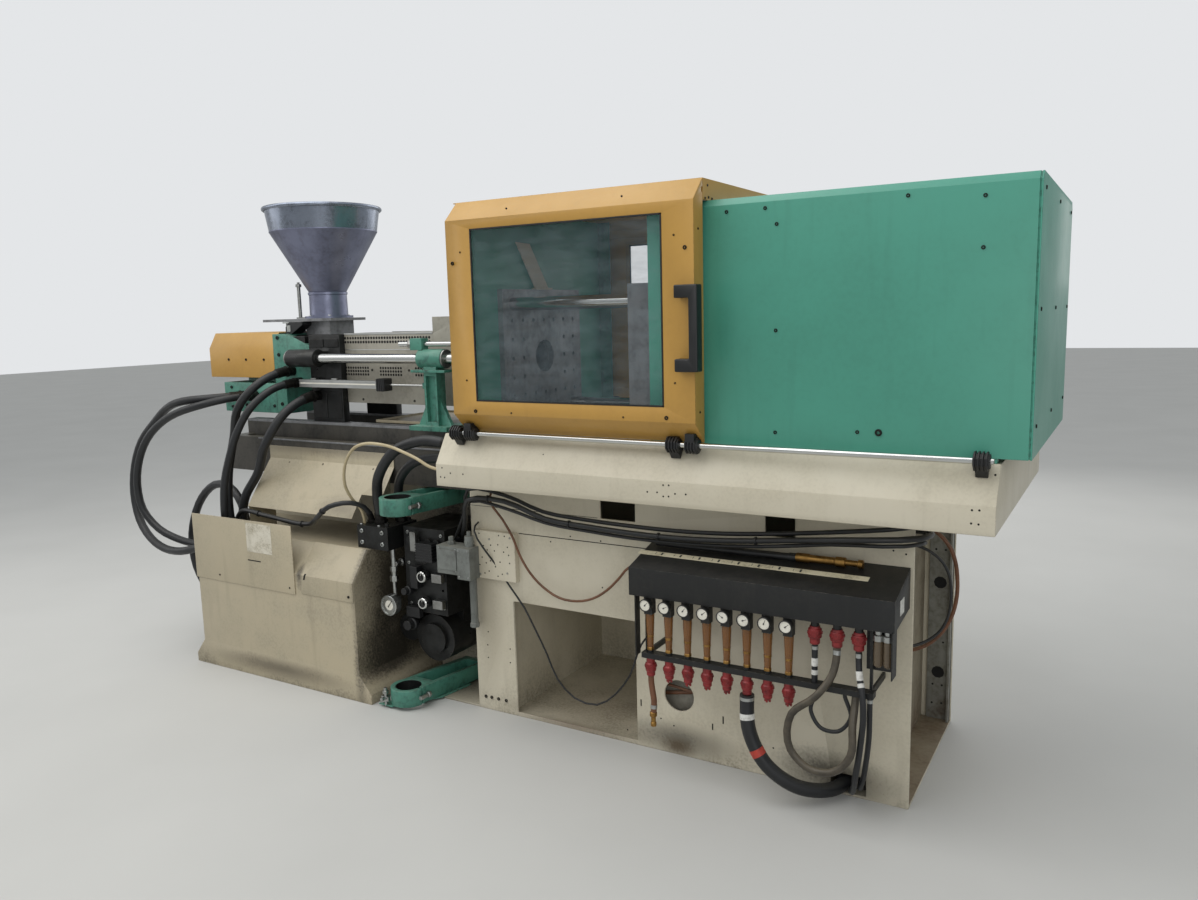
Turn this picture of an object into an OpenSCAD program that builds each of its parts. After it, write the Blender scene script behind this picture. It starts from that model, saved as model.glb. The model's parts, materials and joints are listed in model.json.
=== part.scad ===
// Hydraulic injection moulding machine with a sliding guard, an open hopper and a
// cooling water battery. Millimetres. +X runs towards the clamp end, -Y is the
// operator's side, +Z is up. The origin is the middle of the base's bottom face.

/* [Base frame] */
// Length of the welded base
base_len = 3040; // [2900:10:3200]
// Width of the welded base
base_w = 688; // [660:4:760]
// Height of the base under the clamp unit
base_h = 905; // [890:1:906]
// Sheet and plate thickness of the base
base_wall = 8; // [5:1:12]
// Right edge of the open valve bay
valve_bay_x1 = -95; // [-140:5:-80]
// Front face of the oil tank, behind the valve bay
tank_front_y = -100; // [-120:5:-80]
// Top of the oil tank below the top of the base
tank_down = 65; // [45:5:105]
// Left edge of the service opening in the front wall
service_x = 90; // [60:5:140]
// Width of the service opening
service_w = 510; // [400:10:540]
// Height of the service opening's sill
service_z = 16; // [12:1:40]
// Height of the service opening
service_h = 432; // [300:4:460]
// Centre of the round port along the base
port_x = 763; // [740:1:800]
// Height of the round port's centre
port_z = 212; // [180:1:240]
// Diameter of the round port
port_d = 108; // [80:1:120]
// Left edge of the hose slot at the foot of the front wall
hose_slot_x = 1284; // [1260:2:1300]
// Width of the hose slot
hose_slot_w = 108; // [90:2:110]
// Height of the hose slot
hose_slot_h = 60; // [50:1:80]
// Depth of the open niche in the clamp end
end_niche = 104; // [80:2:110]

/* [Pump housing] */
// Left side of the pump housing
housing_x0 = -1480; // [-1500:5:-1460]
// Right side of the pump housing, which is the valve bay's left edge
housing_x1 = -540; // [-560:5:-520]
// Front face of the pump housing
housing_front = -528; // [-535:1:-520]
// Height of the pump housing
housing_h = 598; // [580:1:620]
// Height at which the housing's front folds back
housing_fold_z = 483; // [470:1:500]
// How far the top fold runs back
housing_fold_y = 88; // [70:1:100]
// Sheet thickness of the housing
housing_wall = 4; // [3:0.5:6]
// Height of the flared skirt at each end
skirt_h = 110; // [90:1:130]
// How far the skirt flares out
skirt_out = 58; // [40:1:60]
// Height of the skirt's upright edge
skirt_edge = 39; // [25:1:50]
// Right edge of the flat access panel
access_x1 = -867; // [-880:1:-850]
// Lower edge of the flat access panel
access_z0 = 397; // [380:1:410]
// Top edge of the flat access panel
access_z1 = 682; // [660:1:700]
// Diameter of the pump motor
pump_motor_d = 240; // [200:5:260]
// Length of the pump motor
pump_motor_len = 420; // [360:10:460]

/* [Machine bed and deck] */
// Half width of the machine bed
bed_half = 290; // [270:5:300]
// Height of the machine bed's top edge, above the base
bed_z_up = 88; // [80:1:95]
// Height of the carriage ways, above the base
way_z_up = 155; // [145:1:161]
// Distance from the centre plane to the middle of each carriage way
way_y = 175; // [165:1:185]
// Width of each carriage way
way_w = 60; // [50:1:70]
// Left end of the sloping deck
deck_x0 = -1240; // [-1260:5:-1200]
// Right end of the sloping deck
deck_x1 = -515; // [-530:5:-500]
// Height at which the deck folds over, above the base
deck_fold_z_up = 0; // [-15:1:15]
// Front edge of the deck
deck_front = -430; // [-438:1:-400]
// Height of the deck's front edge
deck_front_z = 712; // [700:1:730]
// Sheet thickness of the deck, tray and other light covers
cover_sheet = 3; // [2:0.5:4]

/* [Apron] */
// Left end of the apron
apron_x0 = -90; // [-92:1:-80]
// Right end of the apron
apron_x1 = 1756; // [1740:2:1800]
// Distance from the clamp cover's side out to the apron's lip
apron_out = 61; // [57:1:65]
// Height of the apron's lip
apron_lip = 79; // [70:1:86]
// Height of the apron's top edge, above the base
apron_top_z_up = 180; // [175:1:185]

/* [Clamp unit] */
// Height of the machine's axis, above the base
axis_z_up = 433; // [431:1:435]
// Width of the platens
platen_w = 530; // [500:5:540]
// Height of the platens
platen_h = 510; // [490:5:510]
// Mould face of the fixed platen
fixed_face_x = 35; // [25:1:45]
// Thickness of the fixed platen
fixed_platen_t = 150; // [130:2:152]
// Mould face of the moving platen with the clamp open
moving_face_x = 553; // [540:1:560]
// Thickness of the moving platen
moving_platen_t = 140; // [120:2:150]
// Distance between neighbouring tie bars
tie_pitch = 400; // [380:2:410]
// Tie bar diameter
tie_d = 48; // [40:1:52]
// Bore in the fixed platen for the nozzle
nozzle_bore_d = 108; // [90:1:112]
// Seat for a mould's centring ring in the fixed platen's face
centring_d = 124; // [115:1:130]
// Depth of the centring ring's seat
centring_deep = 25; // [12:1:40]
// Bore in the moving platen for the ejector rod
ejector_bore_d = 40; // [30:1:50]
// Pitch of the tapped mould mounting holes
mould_hole_pitch = 70; // [60:1:70]
// Diameter of the mould mounting holes
mould_hole_d = 16; // [12:1:18]
// Depth of the mould mounting holes
mould_hole_deep = 40; // [25:1:50]
// Room behind the moving platen for the ejector
ejector_room = 150; // [140:2:170]
// Ejector stroke
ejector_stroke = 90; // [60:5:100]
// Front face of the cylinder platen
cylinder_platen_x = 1170; // [1160:5:1200]
// Thickness of the cylinder platen
cylinder_platen_t = 120; // [100:5:140]
// Outer diameter of the clamp cylinder
cylinder_d = 380; // [340:5:400]
// Bore of the clamp cylinder
cylinder_bore = 300; // [260:5:310]
// Length of the clamp cylinder behind its platen
cylinder_len = 400; // [370:5:410]
// Diameter of the clamp piston's rod
piston_rod_d = 140; // [120:2:160]
// Diameter of the tie bar nuts
tie_nut_d = 84; // [74:1:96]
// Length of the tie bar nuts
tie_nut_len = 38; // [30:1:45]

/* [Guards and covers] */
// Left edge of the sliding doors
door_x0 = 21; // [15:1:30]
// Right edge of the sliding doors
door_x1 = 930; // [900:5:936]
// Distance from the clamp cover's side out to a door's face
door_out = 81; // [78:1:87]
// Depth of a door's folds and side returns
door_fold = 65; // [55:1:66]
// Lower fold line of a door, above the base
door_z0_up = 263; // [260:1:275]
// Upper fold line of a door, above the base
door_z1_up = 909; // [895:1:910]
// Sheet thickness of a door
door_sheet = 3; // [2:0.5:4]
// Left edge of a door's window
window_x0 = 122; // [110:1:140]
// Right edge of a door's window
window_x1 = 827; // [800:1:840]
// Lower edge of a door's window, above the base
window_z0_up = 309; // [295:1:325]
// Upper edge of a door's window, above the base
window_z1_up = 877; // [855:1:885]
// Thickness of the window pane
pane_t = 6; // [4:1:8]
// Diameter of the door rails
rail_d = 18; // [14:1:20]
// Distance from the clamp cover's side out to a door rail
rail_out = 41; // [39:1:43]
// Height of a door rail, above the base
rail_z_up = 192; // [190:1:194]
// Outer diameter of the ribbed rail blocks
rail_block_d = 66; // [58:1:70]
// Length of a ribbed rail block
rail_block_len = 54; // [44:1:58]
// Left edge of the clamp cover, behind the closed door
cover_x0 = 738; // [736:1:760]
// Right edge of the clamp cover
cover_x1 = 1820; // [1812:1:1840]
// Distance from the centre plane to the clamp cover's side
cover_half = 471; // [465:1:474]
// Height of the clamp cover's top, above the base
cover_top_up = 912; // [900:1:920]
// Height of the clamp cover's lower edge, above the base
cover_z0_up = 193; // [190:1:205]
// Size of the fold along the clamp cover's top edges
cover_fold = 20; // [12:1:30]
// Thickness of the clamp cover's end panel
end_panel_t = 5; // [3:0.5:8]

/* [Injection unit] */
// Distance from the centre plane to each guide column
column_y = 235; // [232:1:238]
// Diameter of the guide columns
column_d = 40; // [34:1:44]
// Left end of the guide columns, inside the block's lugs
column_x0 = -1115; // [-1120:5:-1100]
// Diameter of the pull rods above the guide columns
pull_rod_d = 20; // [14:1:24]
// Height of the pull rods above the axis
pull_rod_up = 57; // [56:1:62]
// Middle of the column support
support_x = -330; // [-345:5:-320]
// Width of the column support's foot
support_foot = 190; // [170:5:200]
// Left side of the injection block's flanks
block_x0 = -1075; // [-1080:1:-1070]
// Right side of the injection block
block_x1 = -890; // [-900:1:-880]
// Half width of the injection block's flanks
block_half = 180; // [175:1:185]
// Height of the injection block's top, above the base
block_top_up = 530; // [525:1:540]
// Left side of the drive plate
drive_x0 = -1303; // [-1310:1:-1295]
// Right side of the drive plate
drive_x1 = -1235; // [-1240:1:-1225]
// Left end of the yellow motor cover
motor_cover_x0 = -1741; // [-1760:2:-1730]
// Lower edge of the motor cover, above the base
motor_cover_z0_up = 341; // [338:1:345]
// Top of the motor cover, above the base
motor_cover_top_up = 543; // [535:1:550]
// Left end of the manifold box below the drive plate
manifold_box_x0 = -1655; // [-1670:5:-1640]
// Lower edge of the manifold box, above the base
manifold_box_z0_up = 183; // [170:1:195]
// Top of the manifold box, above the base
manifold_box_z1_up = 317; // [305:1:325]
// Diameter of the plasticising screw
screw_d = 45; // [35:1:50]
// Outer diameter of the barrel
barrel_d = 100; // [90:1:110]
// Front end of the barrel
barrel_x1 = -150; // [-160:5:-140]
// Tip of the nozzle with the unit drawn back
nozzle_tip_x = -70; // [-80:1:-60]
// Right end of the barrel guard
guard_x1 = -230; // [-260:5:-220]
// Half width of the barrel guard
guard_half = 150; // [140:1:160]
// Lower edge of the barrel guard, above the base
guard_z0_up = 240; // [225:1:255]
// Injection stroke of the screw
screw_stroke = 120; // [80:5:130]

/* [Hopper] */
// Centre of the hopper along the machine
hopper_x = -1128; // [-1140:1:-1120]
// Height of the hopper's rim, above the base
hopper_top_up = 1085; // [1055:5:1115]
// Height of the band between the hopper's shoulder and its rim
hopper_band_h = 108; // [90:1:120]
// Height of the neck below the cone
hopper_neck_h = 116; // [104:1:134]
// Height of the sliding base, above the base
hopper_base_z_up = 601; // [595:1:607]
// Inner diameter at the rim
hopper_rim_d = 492; // [460:2:510]
// Diameter at the shoulder
hopper_shoulder_d = 462; // [440:2:480]
// Diameter of the neck
hopper_neck_d = 164; // [140:1:176]
// Sheet thickness of the hopper
hopper_sheet = 3; // [2:0.5:4]
// Diameter of the rolled rim
hopper_bead = 18; // [12:1:24]

/* [Valves and accumulator clamps] */
// Middle of the accumulator clamps along the machine
clamp_x = -355; // [-360:1:-345]
// Distance from the centre plane to the accumulator clamps
clamp_y = 452; // [440:1:460]
// Bore of the accumulator clamps
clamp_bore_d = 100; // [90:1:110]
// Outer diameter of the accumulator clamps
clamp_outer_d = 140; // [130:1:146]
// Height of each clamp arm
clamp_arm_h = 66; // [55:1:75]
// Top of the upper clamp
clamp_upper_z = 830; // [820:1:836]
// Top of the lower clamp
clamp_lower_z = 80; // [78:1:100]
// Diameter of the pressure gauge
gauge_d = 84; // [70:1:95]
// Diameter of the valve knobs
valve_knob_d = 44; // [36:1:50]

/* [Cooling battery] */
// Left end of the cooling battery
cool_x0 = 681; // [670:1:700]
// Right end of the cooling battery
cool_x1 = 1510; // [1490:1:1515]
// Distance from the centre plane to the battery's face
cool_face = 530; // [524:1:536]
// Lower edge of the battery's face
cool_z0 = 607; // [600:1:615]
// Upper fold of the battery's face
cool_z1 = 698; // [690:1:705]
// Height of the battery's top at the wall
cool_top = 748; // [735:1:760]
// Distance between neighbouring flow tubes
cool_pitch = 65.6; // [60:0.2:68]
// Number of flow tubes
cool_count = 8; // [4:1:8]
// Diameter of the dials
dial_d = 40; // [34:1:46]
// Diameter of the flow tubes
flow_tube_d = 24; // [18:1:28]
// Height of the lower rail
cool_rail_z = 410; // [400:1:420]
// Diameter of the red hose couplings
coupling_d = 36; // [30:1:40]

/* [Running clearances] */
// Radial clearance of a shaft in its bore
run_gap = 0.05; // [0.02:0.01:0.1]
// Clearance between flat faces that slide
slide_gap = 0.3; // [0.2:0.05:0.5]

/* [Hidden] */
$fn = 64;

cream = "#d6ceb8";
yellow = "#cba45a";
teal = "#448e78";
arm_teal = "#5a9480";
iron = "#6f7276";
bright = "#b9bcbd";
black = "#26282b";
rubber = "#1e1f22";
red = "#8c2f2e";
amber = "#9c6a38";

past = 1; // how far a cut runs past a face
deck_fold_z = base_h + deck_fold_z_up;
bed_z = base_h + bed_z_up;
way_z = base_h + way_z_up;
apron_top_z = base_h + apron_top_z_up;
axis_z = base_h + axis_z_up;
door_z0 = base_h + door_z0_up;
door_z1 = base_h + door_z1_up;
window_z0 = base_h + window_z0_up;
window_z1 = base_h + window_z1_up;
rail_z = base_h + rail_z_up;
cover_top = base_h + cover_top_up;
cover_z0 = base_h + cover_z0_up;
block_top = base_h + block_top_up;
motor_cover_z0 = base_h + motor_cover_z0_up;
motor_cover_top = base_h + motor_cover_top_up;
manifold_box_z0 = base_h + manifold_box_z0_up;
manifold_box_z1 = base_h + manifold_box_z1_up;
guard_z0 = base_h + guard_z0_up;
hopper_top = base_h + hopper_top_up;
hopper_base_z = base_h + hopper_base_z_up;
rail_y = cover_half + rail_out;
door_face = cover_half + door_out;
apron_half = cover_half + apron_out;
apron_top_half = cover_half;
hopper_shoulder_z = hopper_top - hopper_band_h;
hopper_neck_z = hopper_base_z + hopper_neck_h;
base_x = base_len / 2;
tank_h = base_h - tank_down;
base_half = base_w / 2;
room_x0 = service_x - 30;
room_x1 = service_x + service_w + 30;
room_top = service_z + service_h + 12;
niche_x0 = base_x - end_niche;
cable_window_z = base_h - 107;
cable_window_h = 64;
cable_windows = [[472, 607], [1068, 1164]]; // left and right edges

housing_back = tank_front_y;
function housing_outline(back) = [[housing_front, 0], [back, 0], [back, housing_h],
    [housing_front + housing_fold_y, housing_h], [housing_front, housing_fold_z]];
housing_section = housing_outline(housing_back);
housing_face = [[housing_x0 - skirt_out, 0], [housing_x1 + skirt_out, 0],
    [housing_x1 + skirt_out, skirt_edge], [housing_x1, skirt_h], [housing_x1, housing_h],
    [housing_x0, housing_h], [housing_x0, skirt_h], [housing_x0 - skirt_out, skirt_edge]];
well_x1 = deck_x0 - 20; // right edge of the hose well
well_y1 = -300; // back edge of the hose well
port_block_lo = [-1400, housing_front + housing_wall, 400];
port_block_hi = [-1285, -330, 560];
ferrule_d = 44;
ferrule_len = 26;
motor_z = housing_wall + pump_motor_d / 2 + 30;
pump_motor_x0 = -1220;
motor_foot = 40; // feet of the motor, and their distance from its end
motor_y = tank_front_y - pump_motor_d / 2 - 20;

bed_x0 = -base_x + 20;
tray_x = [-760, -150]; // ends of the drip tray
tray_y = [-125, 285]; // front and back edges of the drip tray
tray_h = 12;
foot_y0 = way_y - way_w / 2 - 5; // inner edge of the column support's feet
manifold_lo = [-610, -420, housing_h];
manifold_hi = [-450, -250, housing_h + 92];
gauge_z = housing_h - 218;
valve_z1 = housing_h + 52;
valve_z0 = valve_z1 - 120;
pump_top = manifold_hi[2]; // the valve stack is as high as the manifold

apron_section = [[-apron_half, base_h], [apron_half, base_h],
    [apron_half, base_h + apron_lip], [apron_top_half, apron_top_z],
    [-apron_top_half, apron_top_z], [-apron_half, base_h + apron_lip]];
apron_sheet = 4;
slot_half = 300; // half width of the slot in the apron's top
platen_z0 = axis_z - platen_h / 2;
clamp_way_y = [150, 230]; // inner and outer edge of each clamp way

fixed_back_x = fixed_face_x - fixed_platen_t;
carriage_in = 90; // how far the injection unit runs in from where it stands
band_x0 = block_x1 + 50; // the heater bands stay clear of the platen, with the unit run in
band_step = (fixed_back_x - carriage_in - 3 - band_x0 + 16) / 6;
moving_back_x = moving_face_x + moving_platen_t;
flange_t = 20;
flange_x = moving_back_x + ejector_room - flange_t;
cylinder_x = cylinder_platen_x + cylinder_platen_t;
piston_len = 50;
piston_x1 = cylinder_x + cylinder_len - 40;
ejector_plate_t = 16;
ejector_plate_x = flange_x - ejector_plate_t - 2;

door_back = door_face - door_fold;
door_section = [[-door_face, door_z0], [-door_back, door_z0 - door_fold],
    [-door_back, door_z1 + door_fold], [-door_face, door_z1]];
hood_half = door_back - 3;
hood_top = door_z1 + door_fold;
cover_section = [[-cover_half, cover_z0], [cover_half, cover_z0],
    [cover_half, cover_top - cover_fold], [cover_half - cover_fold, cover_top],
    [-cover_half + cover_fold, cover_top], [-cover_half, cover_top - cover_fold]];
seam = 3; // width of the seam at the end panel
mould_wall_x = door_x0 - 16;
mould_wall_t = 8;
runner_1_x = door_x0 + 12;
runner_2_x = door_x1 - rail_block_len - 4;
bracket_1_x = runner_1_x - rail_block_len - 4;
bracket_2_x = runner_2_x - rail_block_len - 4;
door_travel = bracket_2_x - runner_1_x - rail_block_len - 9;
bracket_3_x = runner_2_x + rail_block_len + door_travel + 46;
guide_strip_z = hood_top - 37;
guide_strip_t = 6;

slope_foot = [-apron_half, base_h + apron_lip];
slope_up = unit([-apron_top_half, apron_top_z] - slope_foot);
slope_out = [-slope_up[1], slope_up[0]];
rail_at = [-rail_y, rail_z];
rail_foot = rail_at - slope_out * ((rail_at - slope_foot) * slope_out);
door_slope_c = door_z0 - door_face; // the door's lower slope is z = c - y

flank_z0 = way_z + slide_gap;
ring_d = 76;
lug_x0 = block_x0 - 55;
lug_x1 = block_x0 + 115;
transducer_y = -212;
transducer_z = axis_z - 108;
transducer_d = 32;
transducer_rod_d = 10;
transducer_x0 = -1098;
transducer_x1 = -640;
rod_lug_x = support_x - 75;
feed_d = 70; // bore that the granules fall through
piston_rod = 44;
piston_d = 120;

// Routes of the hoses and cables, from end to end
hydraulic_routes = [
    [[-1500, -206, 1165], [-1553, -331, 1163], [-1677, -393, 1151], [-1815, -379, 1113],
     [-1929, -372, 1041], [-2028, -379, 951], [-2092, -384, 832], [-2107, -393, 700],
     [-2061, -407, 575], [-1954, -428, 498], [-1825, -447, 466], [-1691, -460, 471],
     [-1560, -458, 500], [-1426, -455, 515]],
    [[-1440, -206, 1165], [-1475, -321, 1159], [-1569, -395, 1133], [-1683, -424, 1100],
     [-1796, -432, 1050], [-1894, -438, 976], [-1965, -441, 875], [-1999, -441, 758],
     [-1984, -435, 636], [-1906, -415, 546], [-1794, -393, 501], [-1671, -385, 490],
     [-1549, -388, 505], [-1426, -390, 515]],
    [[-1185, -206, 1280], [-1219, -332, 1240], [-1291, -398, 1137], [-1344, -393, 1004],
     [-1376, -406, 866], [-1386, -414, 727], [-1380, -415, 586]],
    [[-1140, -206, 1230], [-1163, -317, 1210], [-1210, -397, 1140], [-1255, -440, 1041],
     [-1291, -463, 932], [-1318, -479, 819], [-1332, -481, 703], [-1332, -478, 586]],
    [[-1030, -206, 1175], [-1058, -344, 1119], [-1126, -406, 989], [-1209, -390, 856],
     [-1297, -401, 732], [-1320, -402, 586]]];
hydraulic_d = [36, 34, 36, 32, 38];
deck_routes = [
    [[-90, -430, 1040], [-225, -438, 1048], [-349, -455, 1007], [-442, -450, 912],
     [-512, -398, 817], [-533, -364, 690]],
    [[-90, -400, 970], [-205, -402, 977], [-317, -397, 952], [-407, -374, 885], [-467, -327, 799],
     [-485, -300, 690]],
    [[-1304, -448, 586], [-1291, -452, 654], [-1239, -463, 699], [-1168, -472, 705],
     [-1096, -476, 698], [-1023, -479, 693], [-951, -482, 687], [-879, -477, 680],
     [-805, -479, 688], [-748, -501, 719], [-672, -503, 773], [-605, -451, 784],
     [-581, -406, 761], [-576, -370, 690]],
    [[-1350, -360, 586], [-1387, -348, 696], [-1477, -332, 761], [-1596, -320, 763],
     [-1702, -318, 693], [-1772, -317, 591], [-1808, -315, 474], [-1791, -315, 352],
     [-1716, -319, 256], [-1603, -334, 211], [-1480, -340, 205]]];
deck_d = [40, 36, 20, 36];
bundle_routes = [
    [[-215, -300, 640], [-98, -378, 726], [-20, -449, 843], [142, -446, 850], [306, -439, 801],
     [479, -440, 790], [652, -440, 784], [825, -440, 785], [998, -441, 796], [1173, -438, 815],
     [1340, -478, 842], [1550, -419, 855], [1560, -318, 848], [1416, -245, 835]],
    [[-215, -262, 655], [-117, -345, 748], [-43, -416, 874], [123, -419, 866], [286, -418, 820],
     [456, -420, 808], [626, -420, 803], [797, -420, 803], [967, -420, 811], [1137, -420, 828],
     [1308, -417, 849], [1508, -416, 880], [1546, -300, 873], [1416, -220, 855]],
    [[-215, -332, 645], [-126, -369, 726], [-29, -424, 832], [135, -426, 819], [297, -425, 783],
     [464, -425, 771], [631, -425, 764], [798, -425, 765], [964, -426, 773], [1131, -427, 790],
     [1298, -426, 813], [1508, -434, 832], [1548, -340, 825], [1416, -270, 815]]];
bundle_d = [18, 14, 12];
loose_routes = [
    [[-90, -490, 955], [-153, -491, 962], [-210, -496, 990], [-270, -499, 1011],
     [-332, -500, 1028], [-396, -500, 1035], [-459, -497, 1033], [-520, -492, 1015],
     [-569, -485, 974], [-601, -477, 920], [-614, -466, 858], [-613, -438, 801],
     [-605, -400, 751], [-602, -385, 690]],
    [[20, -344, 870], [42, -396, 829], [82, -383, 767], [121, -380, 706], [152, -381, 640],
     [193, -380, 580], [247, -378, 533], [312, -375, 502], [384, -374, 499], [453, -376, 519],
     [513, -381, 558], [565, -391, 607], [615, -405, 657], [681, -412, 676]],
    [[-60, -344, 735], [-46, -388, 712], [-10, -388, 655], [27, -365, 590], [87, -364, 514], [147, -361, 440],
     [195, -360, 358], [241, -360, 275], [283, -360, 189], [355, -360, 130], [448, -360, 123],
     [525, -360, 178], [582, -357, 256], [622, -382, 336], [644, -386, 386], [650, -344, 405]],
    [[1416, -190, 850], [1467, -190, 849], [1517, -190, 841], [1560, -189, 815],
     [1592, -188, 776], [1607, -185, 728], [1612, -182, 677], [1611, -180, 627],
     [1602, -180, 577], [1583, -182, 530], [1554, -187, 489], [1514, -194, 458],
     [1467, -200, 442], [1416, -200, 440]],
    [[1416, -250, 790], [1461, -249, 790], [1506, -244, 789], [1546, -237, 772],
     [1578, -229, 741], [1596, -221, 700], [1600, -215, 656], [1599, -210, 611],
     [1591, -208, 567], [1572, -211, 526], [1541, -220, 495], [1503, -233, 476],
     [1461, -248, 470], [1416, -250, 470]]];
loose_d = [12, 9, 7, 12, 9];
cooling_routes = [
    [[743, -506, 340], [744, -506, 313], [749, -508, 286], [754, -510, 259], [754, -512, 232],
     [752, -512, 205]],
    [[1071, -506, 340], [1083, -517, 226], [1135, -517, 134], [1217, -484, 68], [1289, -415, 39],
     [1325, -300, 31]],
    [[1345, -506, 535], [1337, -524, 457], [1296, -550, 393], [1227, -555, 329],
     [1225, -556, 219], [1286, -558, 172], [1353, -559, 180], [1401, -556, 238],
     [1401, -539, 319], [1400, -506, 402]],
    [[1290, -506, 402], [1271, -511, 332], [1304, -515, 285], [1353, -514, 285],
     [1387, -509, 330], [1368, -506, 402]],
    [[1280, -506, 535], [1280, -506, 512], [1280, -506, 489], [1280, -506, 466],
     [1280, -506, 443], [1280, -506, 420]],
    [[1407, -506, 535], [1412, -516, 471], [1427, -535, 410], [1431, -540, 345],
     [1425, -538, 280], [1416, -528, 216], [1403, -508, 155], [1390, -472, 103], [1373, -426, 60],
     [1356, -372, 38], [1363, -300, 28]],
    [[1440, -506, 402], [1440, -505, 343], [1438, -499, 284], [1431, -486, 226],
     [1421, -466, 172], [1409, -438, 121], [1393, -407, 73], [1381, -364, 44], [1381, -300, 28]]];
cooling_d = [20, 44, 22, 12, 18, 18, 16];

// A straight block between two corners
module block(lo, hi) translate(lo) cube(hi - lo);

// Round bars along each axis
module bar_x(x0, x1, y, z, d) translate([x0, y, z]) rotate([0, 90, 0]) cylinder(h = x1 - x0, d = d);
module bar_y(y0, y1, x, z, d) translate([x, y1, z]) rotate([90, 0, 0]) cylinder(h = y1 - y0, d = d);
module bar_z(z0, z1, x, y, d) translate([x, y, z0]) cylinder(h = z1 - z0, d = d);

// An outline in Y and Z carried along X, and one in X and Z carried along Y
module prism_x(x0, x1, outline)
    translate([x0, 0, 0]) rotate([90, 0, 90]) linear_extrude(x1 - x0) polygon(outline);
module prism_y(y0, y1, outline)
    translate([0, y1, 0]) rotate([90, 0, 0]) linear_extrude(y1 - y0) polygon(outline);

// The same thing on both sides of the centre plane
module both_sides() {
    children();
    mirror([0, 1, 0]) children();
}

// Moves each edge of a closed outline inwards, for a wall of even thickness
function unit(v) = v / norm(v);
function inward(a, b) = let(d = unit(b - a)) [-d[1], d[0]];
function mitre(a, b, c, t) =
    let(m = inward(a, b), k = inward(b, c)) b + (m + k) * t / (1 + m * k);
function inset(outline, t) = let(n = len(outline))
    [for (i = [0 : n - 1]) mitre(outline[(i + n - 1) % n], outline[i], outline[(i + 1) % n], t)];

// A folded sheet of even thickness along an open path, thickened to the path's left
function sheet(path, t) = let(n = len(path)) concat(path, [for (i = [n - 1 : -1 : 0])
    i == 0 ? path[0] + inward(path[0], path[1]) * t
    : i == n - 1 ? path[i] + inward(path[i - 1], path[i]) * t
    : mitre(path[i - 1], path[i], path[i + 1], t)]);

// A smooth curve through a route's points, square to the port at each end, with a round tube
// swept along it
function square(v) = let(m = max(abs(v[0]), abs(v[1]), abs(v[2])))
    [for (c = v) abs(c) == m ? sign(c) : 0];
function slope(r, i) = i == 0 ? square(r[1] - r[0])
    : i == len(r) - 1 ? square(r[i] - r[i - 1])
    : let(a = r[i] - r[i - 1], b = r[i + 1] - r[i], u = norm(a), w = norm(b))
    (a * w / u + b * u / w) / (u + w);
function curve_at(r, i, u) = let(d = norm(r[i + 1] - r[i]), v = 1 - u)
    r[i] * v * v * (1 + 2 * u) + r[i + 1] * u * u * (3 - 2 * u)
    + (slope(r, i) * v - slope(r, i + 1) * u) * d * u * v;
function smooth_route(r) = let(n = len(r))
    concat([for (i = [0 : n - 2], u = [0, 0.5]) curve_at(r, i, u)], [r[n - 1]]);
function heading(r, p, i) = i == 0 ? slope(r, 0) : i == len(p) - 1 ? slope(r, len(r) - 1)
    : unit(p[i + 1] - p[i - 1]);
function square_to(t, v) = unit(v - (v * t) * t);
function first_side(t) = square_to(t, abs(t[0]) < 0.8 ? [1, 0, 0] : [0, 0, 1]);
module tube(route, d, sides = 8) {
    p = smooth_route(route);
    n = len(p);
    side = [for (i = 0, s = first_side(heading(route, p, 0)); i < n;
        i = i + 1, s = i < n ? square_to(heading(route, p, i), s) : s) s];
    rings = [for (i = [0 : n - 1], k = [0 : sides - 1])
        let(t = heading(route, p, i), w = cross(t, side[i]), a = 360 * k / sides)
        p[i] + (side[i] * cos(a) + w * sin(a)) * d / 2];
    walls = [for (i = [0 : n - 2], k = [0 : sides - 1]) let(j = (k + 1) % sides)
        [i * sides + k, (i + 1) * sides + k, (i + 1) * sides + j, i * sides + j]];
    ends = [[for (k = [0 : sides - 1]) k], [for (k = [sides - 1 : -1 : 0]) (n - 1) * sides + k]];
    polyhedron(points = rings, faces = concat(ends, walls));
}
module tubes(routes, diameters)
    for (i = [0 : len(routes) - 1]) tube(routes[i], diameters[i]);

module base_frame() color(cream) difference() {
    union() {
        block([-base_x, tank_front_y, 0], [valve_bay_x1, base_half, tank_h]);
        block([valve_bay_x1, -base_half, 0], [base_x, base_half, base_h]);
        block([housing_x1 + skirt_out + past, -base_half, 0], [valve_bay_x1, tank_front_y, base_wall]);
    }
    // room behind the service opening, and the opening
    block([room_x0, -base_half + base_wall, base_wall],
        [room_x1, base_half - base_wall, room_top]);
    block([service_x, -base_half - past, service_z],
        [service_x + service_w, 0, service_z + service_h]);
    // rooms above and beside it
    block([room_x0, -base_half + base_wall, room_top + base_wall],
        [room_x1, base_half - base_wall, base_h - base_wall]);
    block([room_x1 + base_wall, -base_half + base_wall, base_wall],
        [niche_x0 - base_wall, base_half - base_wall, base_h - base_wall]);
    bar_y(-base_half - past, 0, port_x, port_z, port_d);
    block([hose_slot_x, -base_half - past, base_wall],
        [hose_slot_x + hose_slot_w, 0, base_wall + hose_slot_h]);
    for (w = cable_windows)
        block([w[0], -base_half - past, cable_window_z],
            [w[1], 0, cable_window_z + cable_window_h]);
    // open niche at the clamp end
    block([niche_x0, -base_half + base_wall, base_wall],
        [base_x + past, base_half - base_wall, base_h - base_wall]);
}

module housing_body(outline, t) intersection() {
    prism_x(housing_x0 - skirt_out, housing_x1 + skirt_out, inset(outline, t));
    prism_y(housing_front, housing_back + past, inset(housing_face, t));
}

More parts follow.
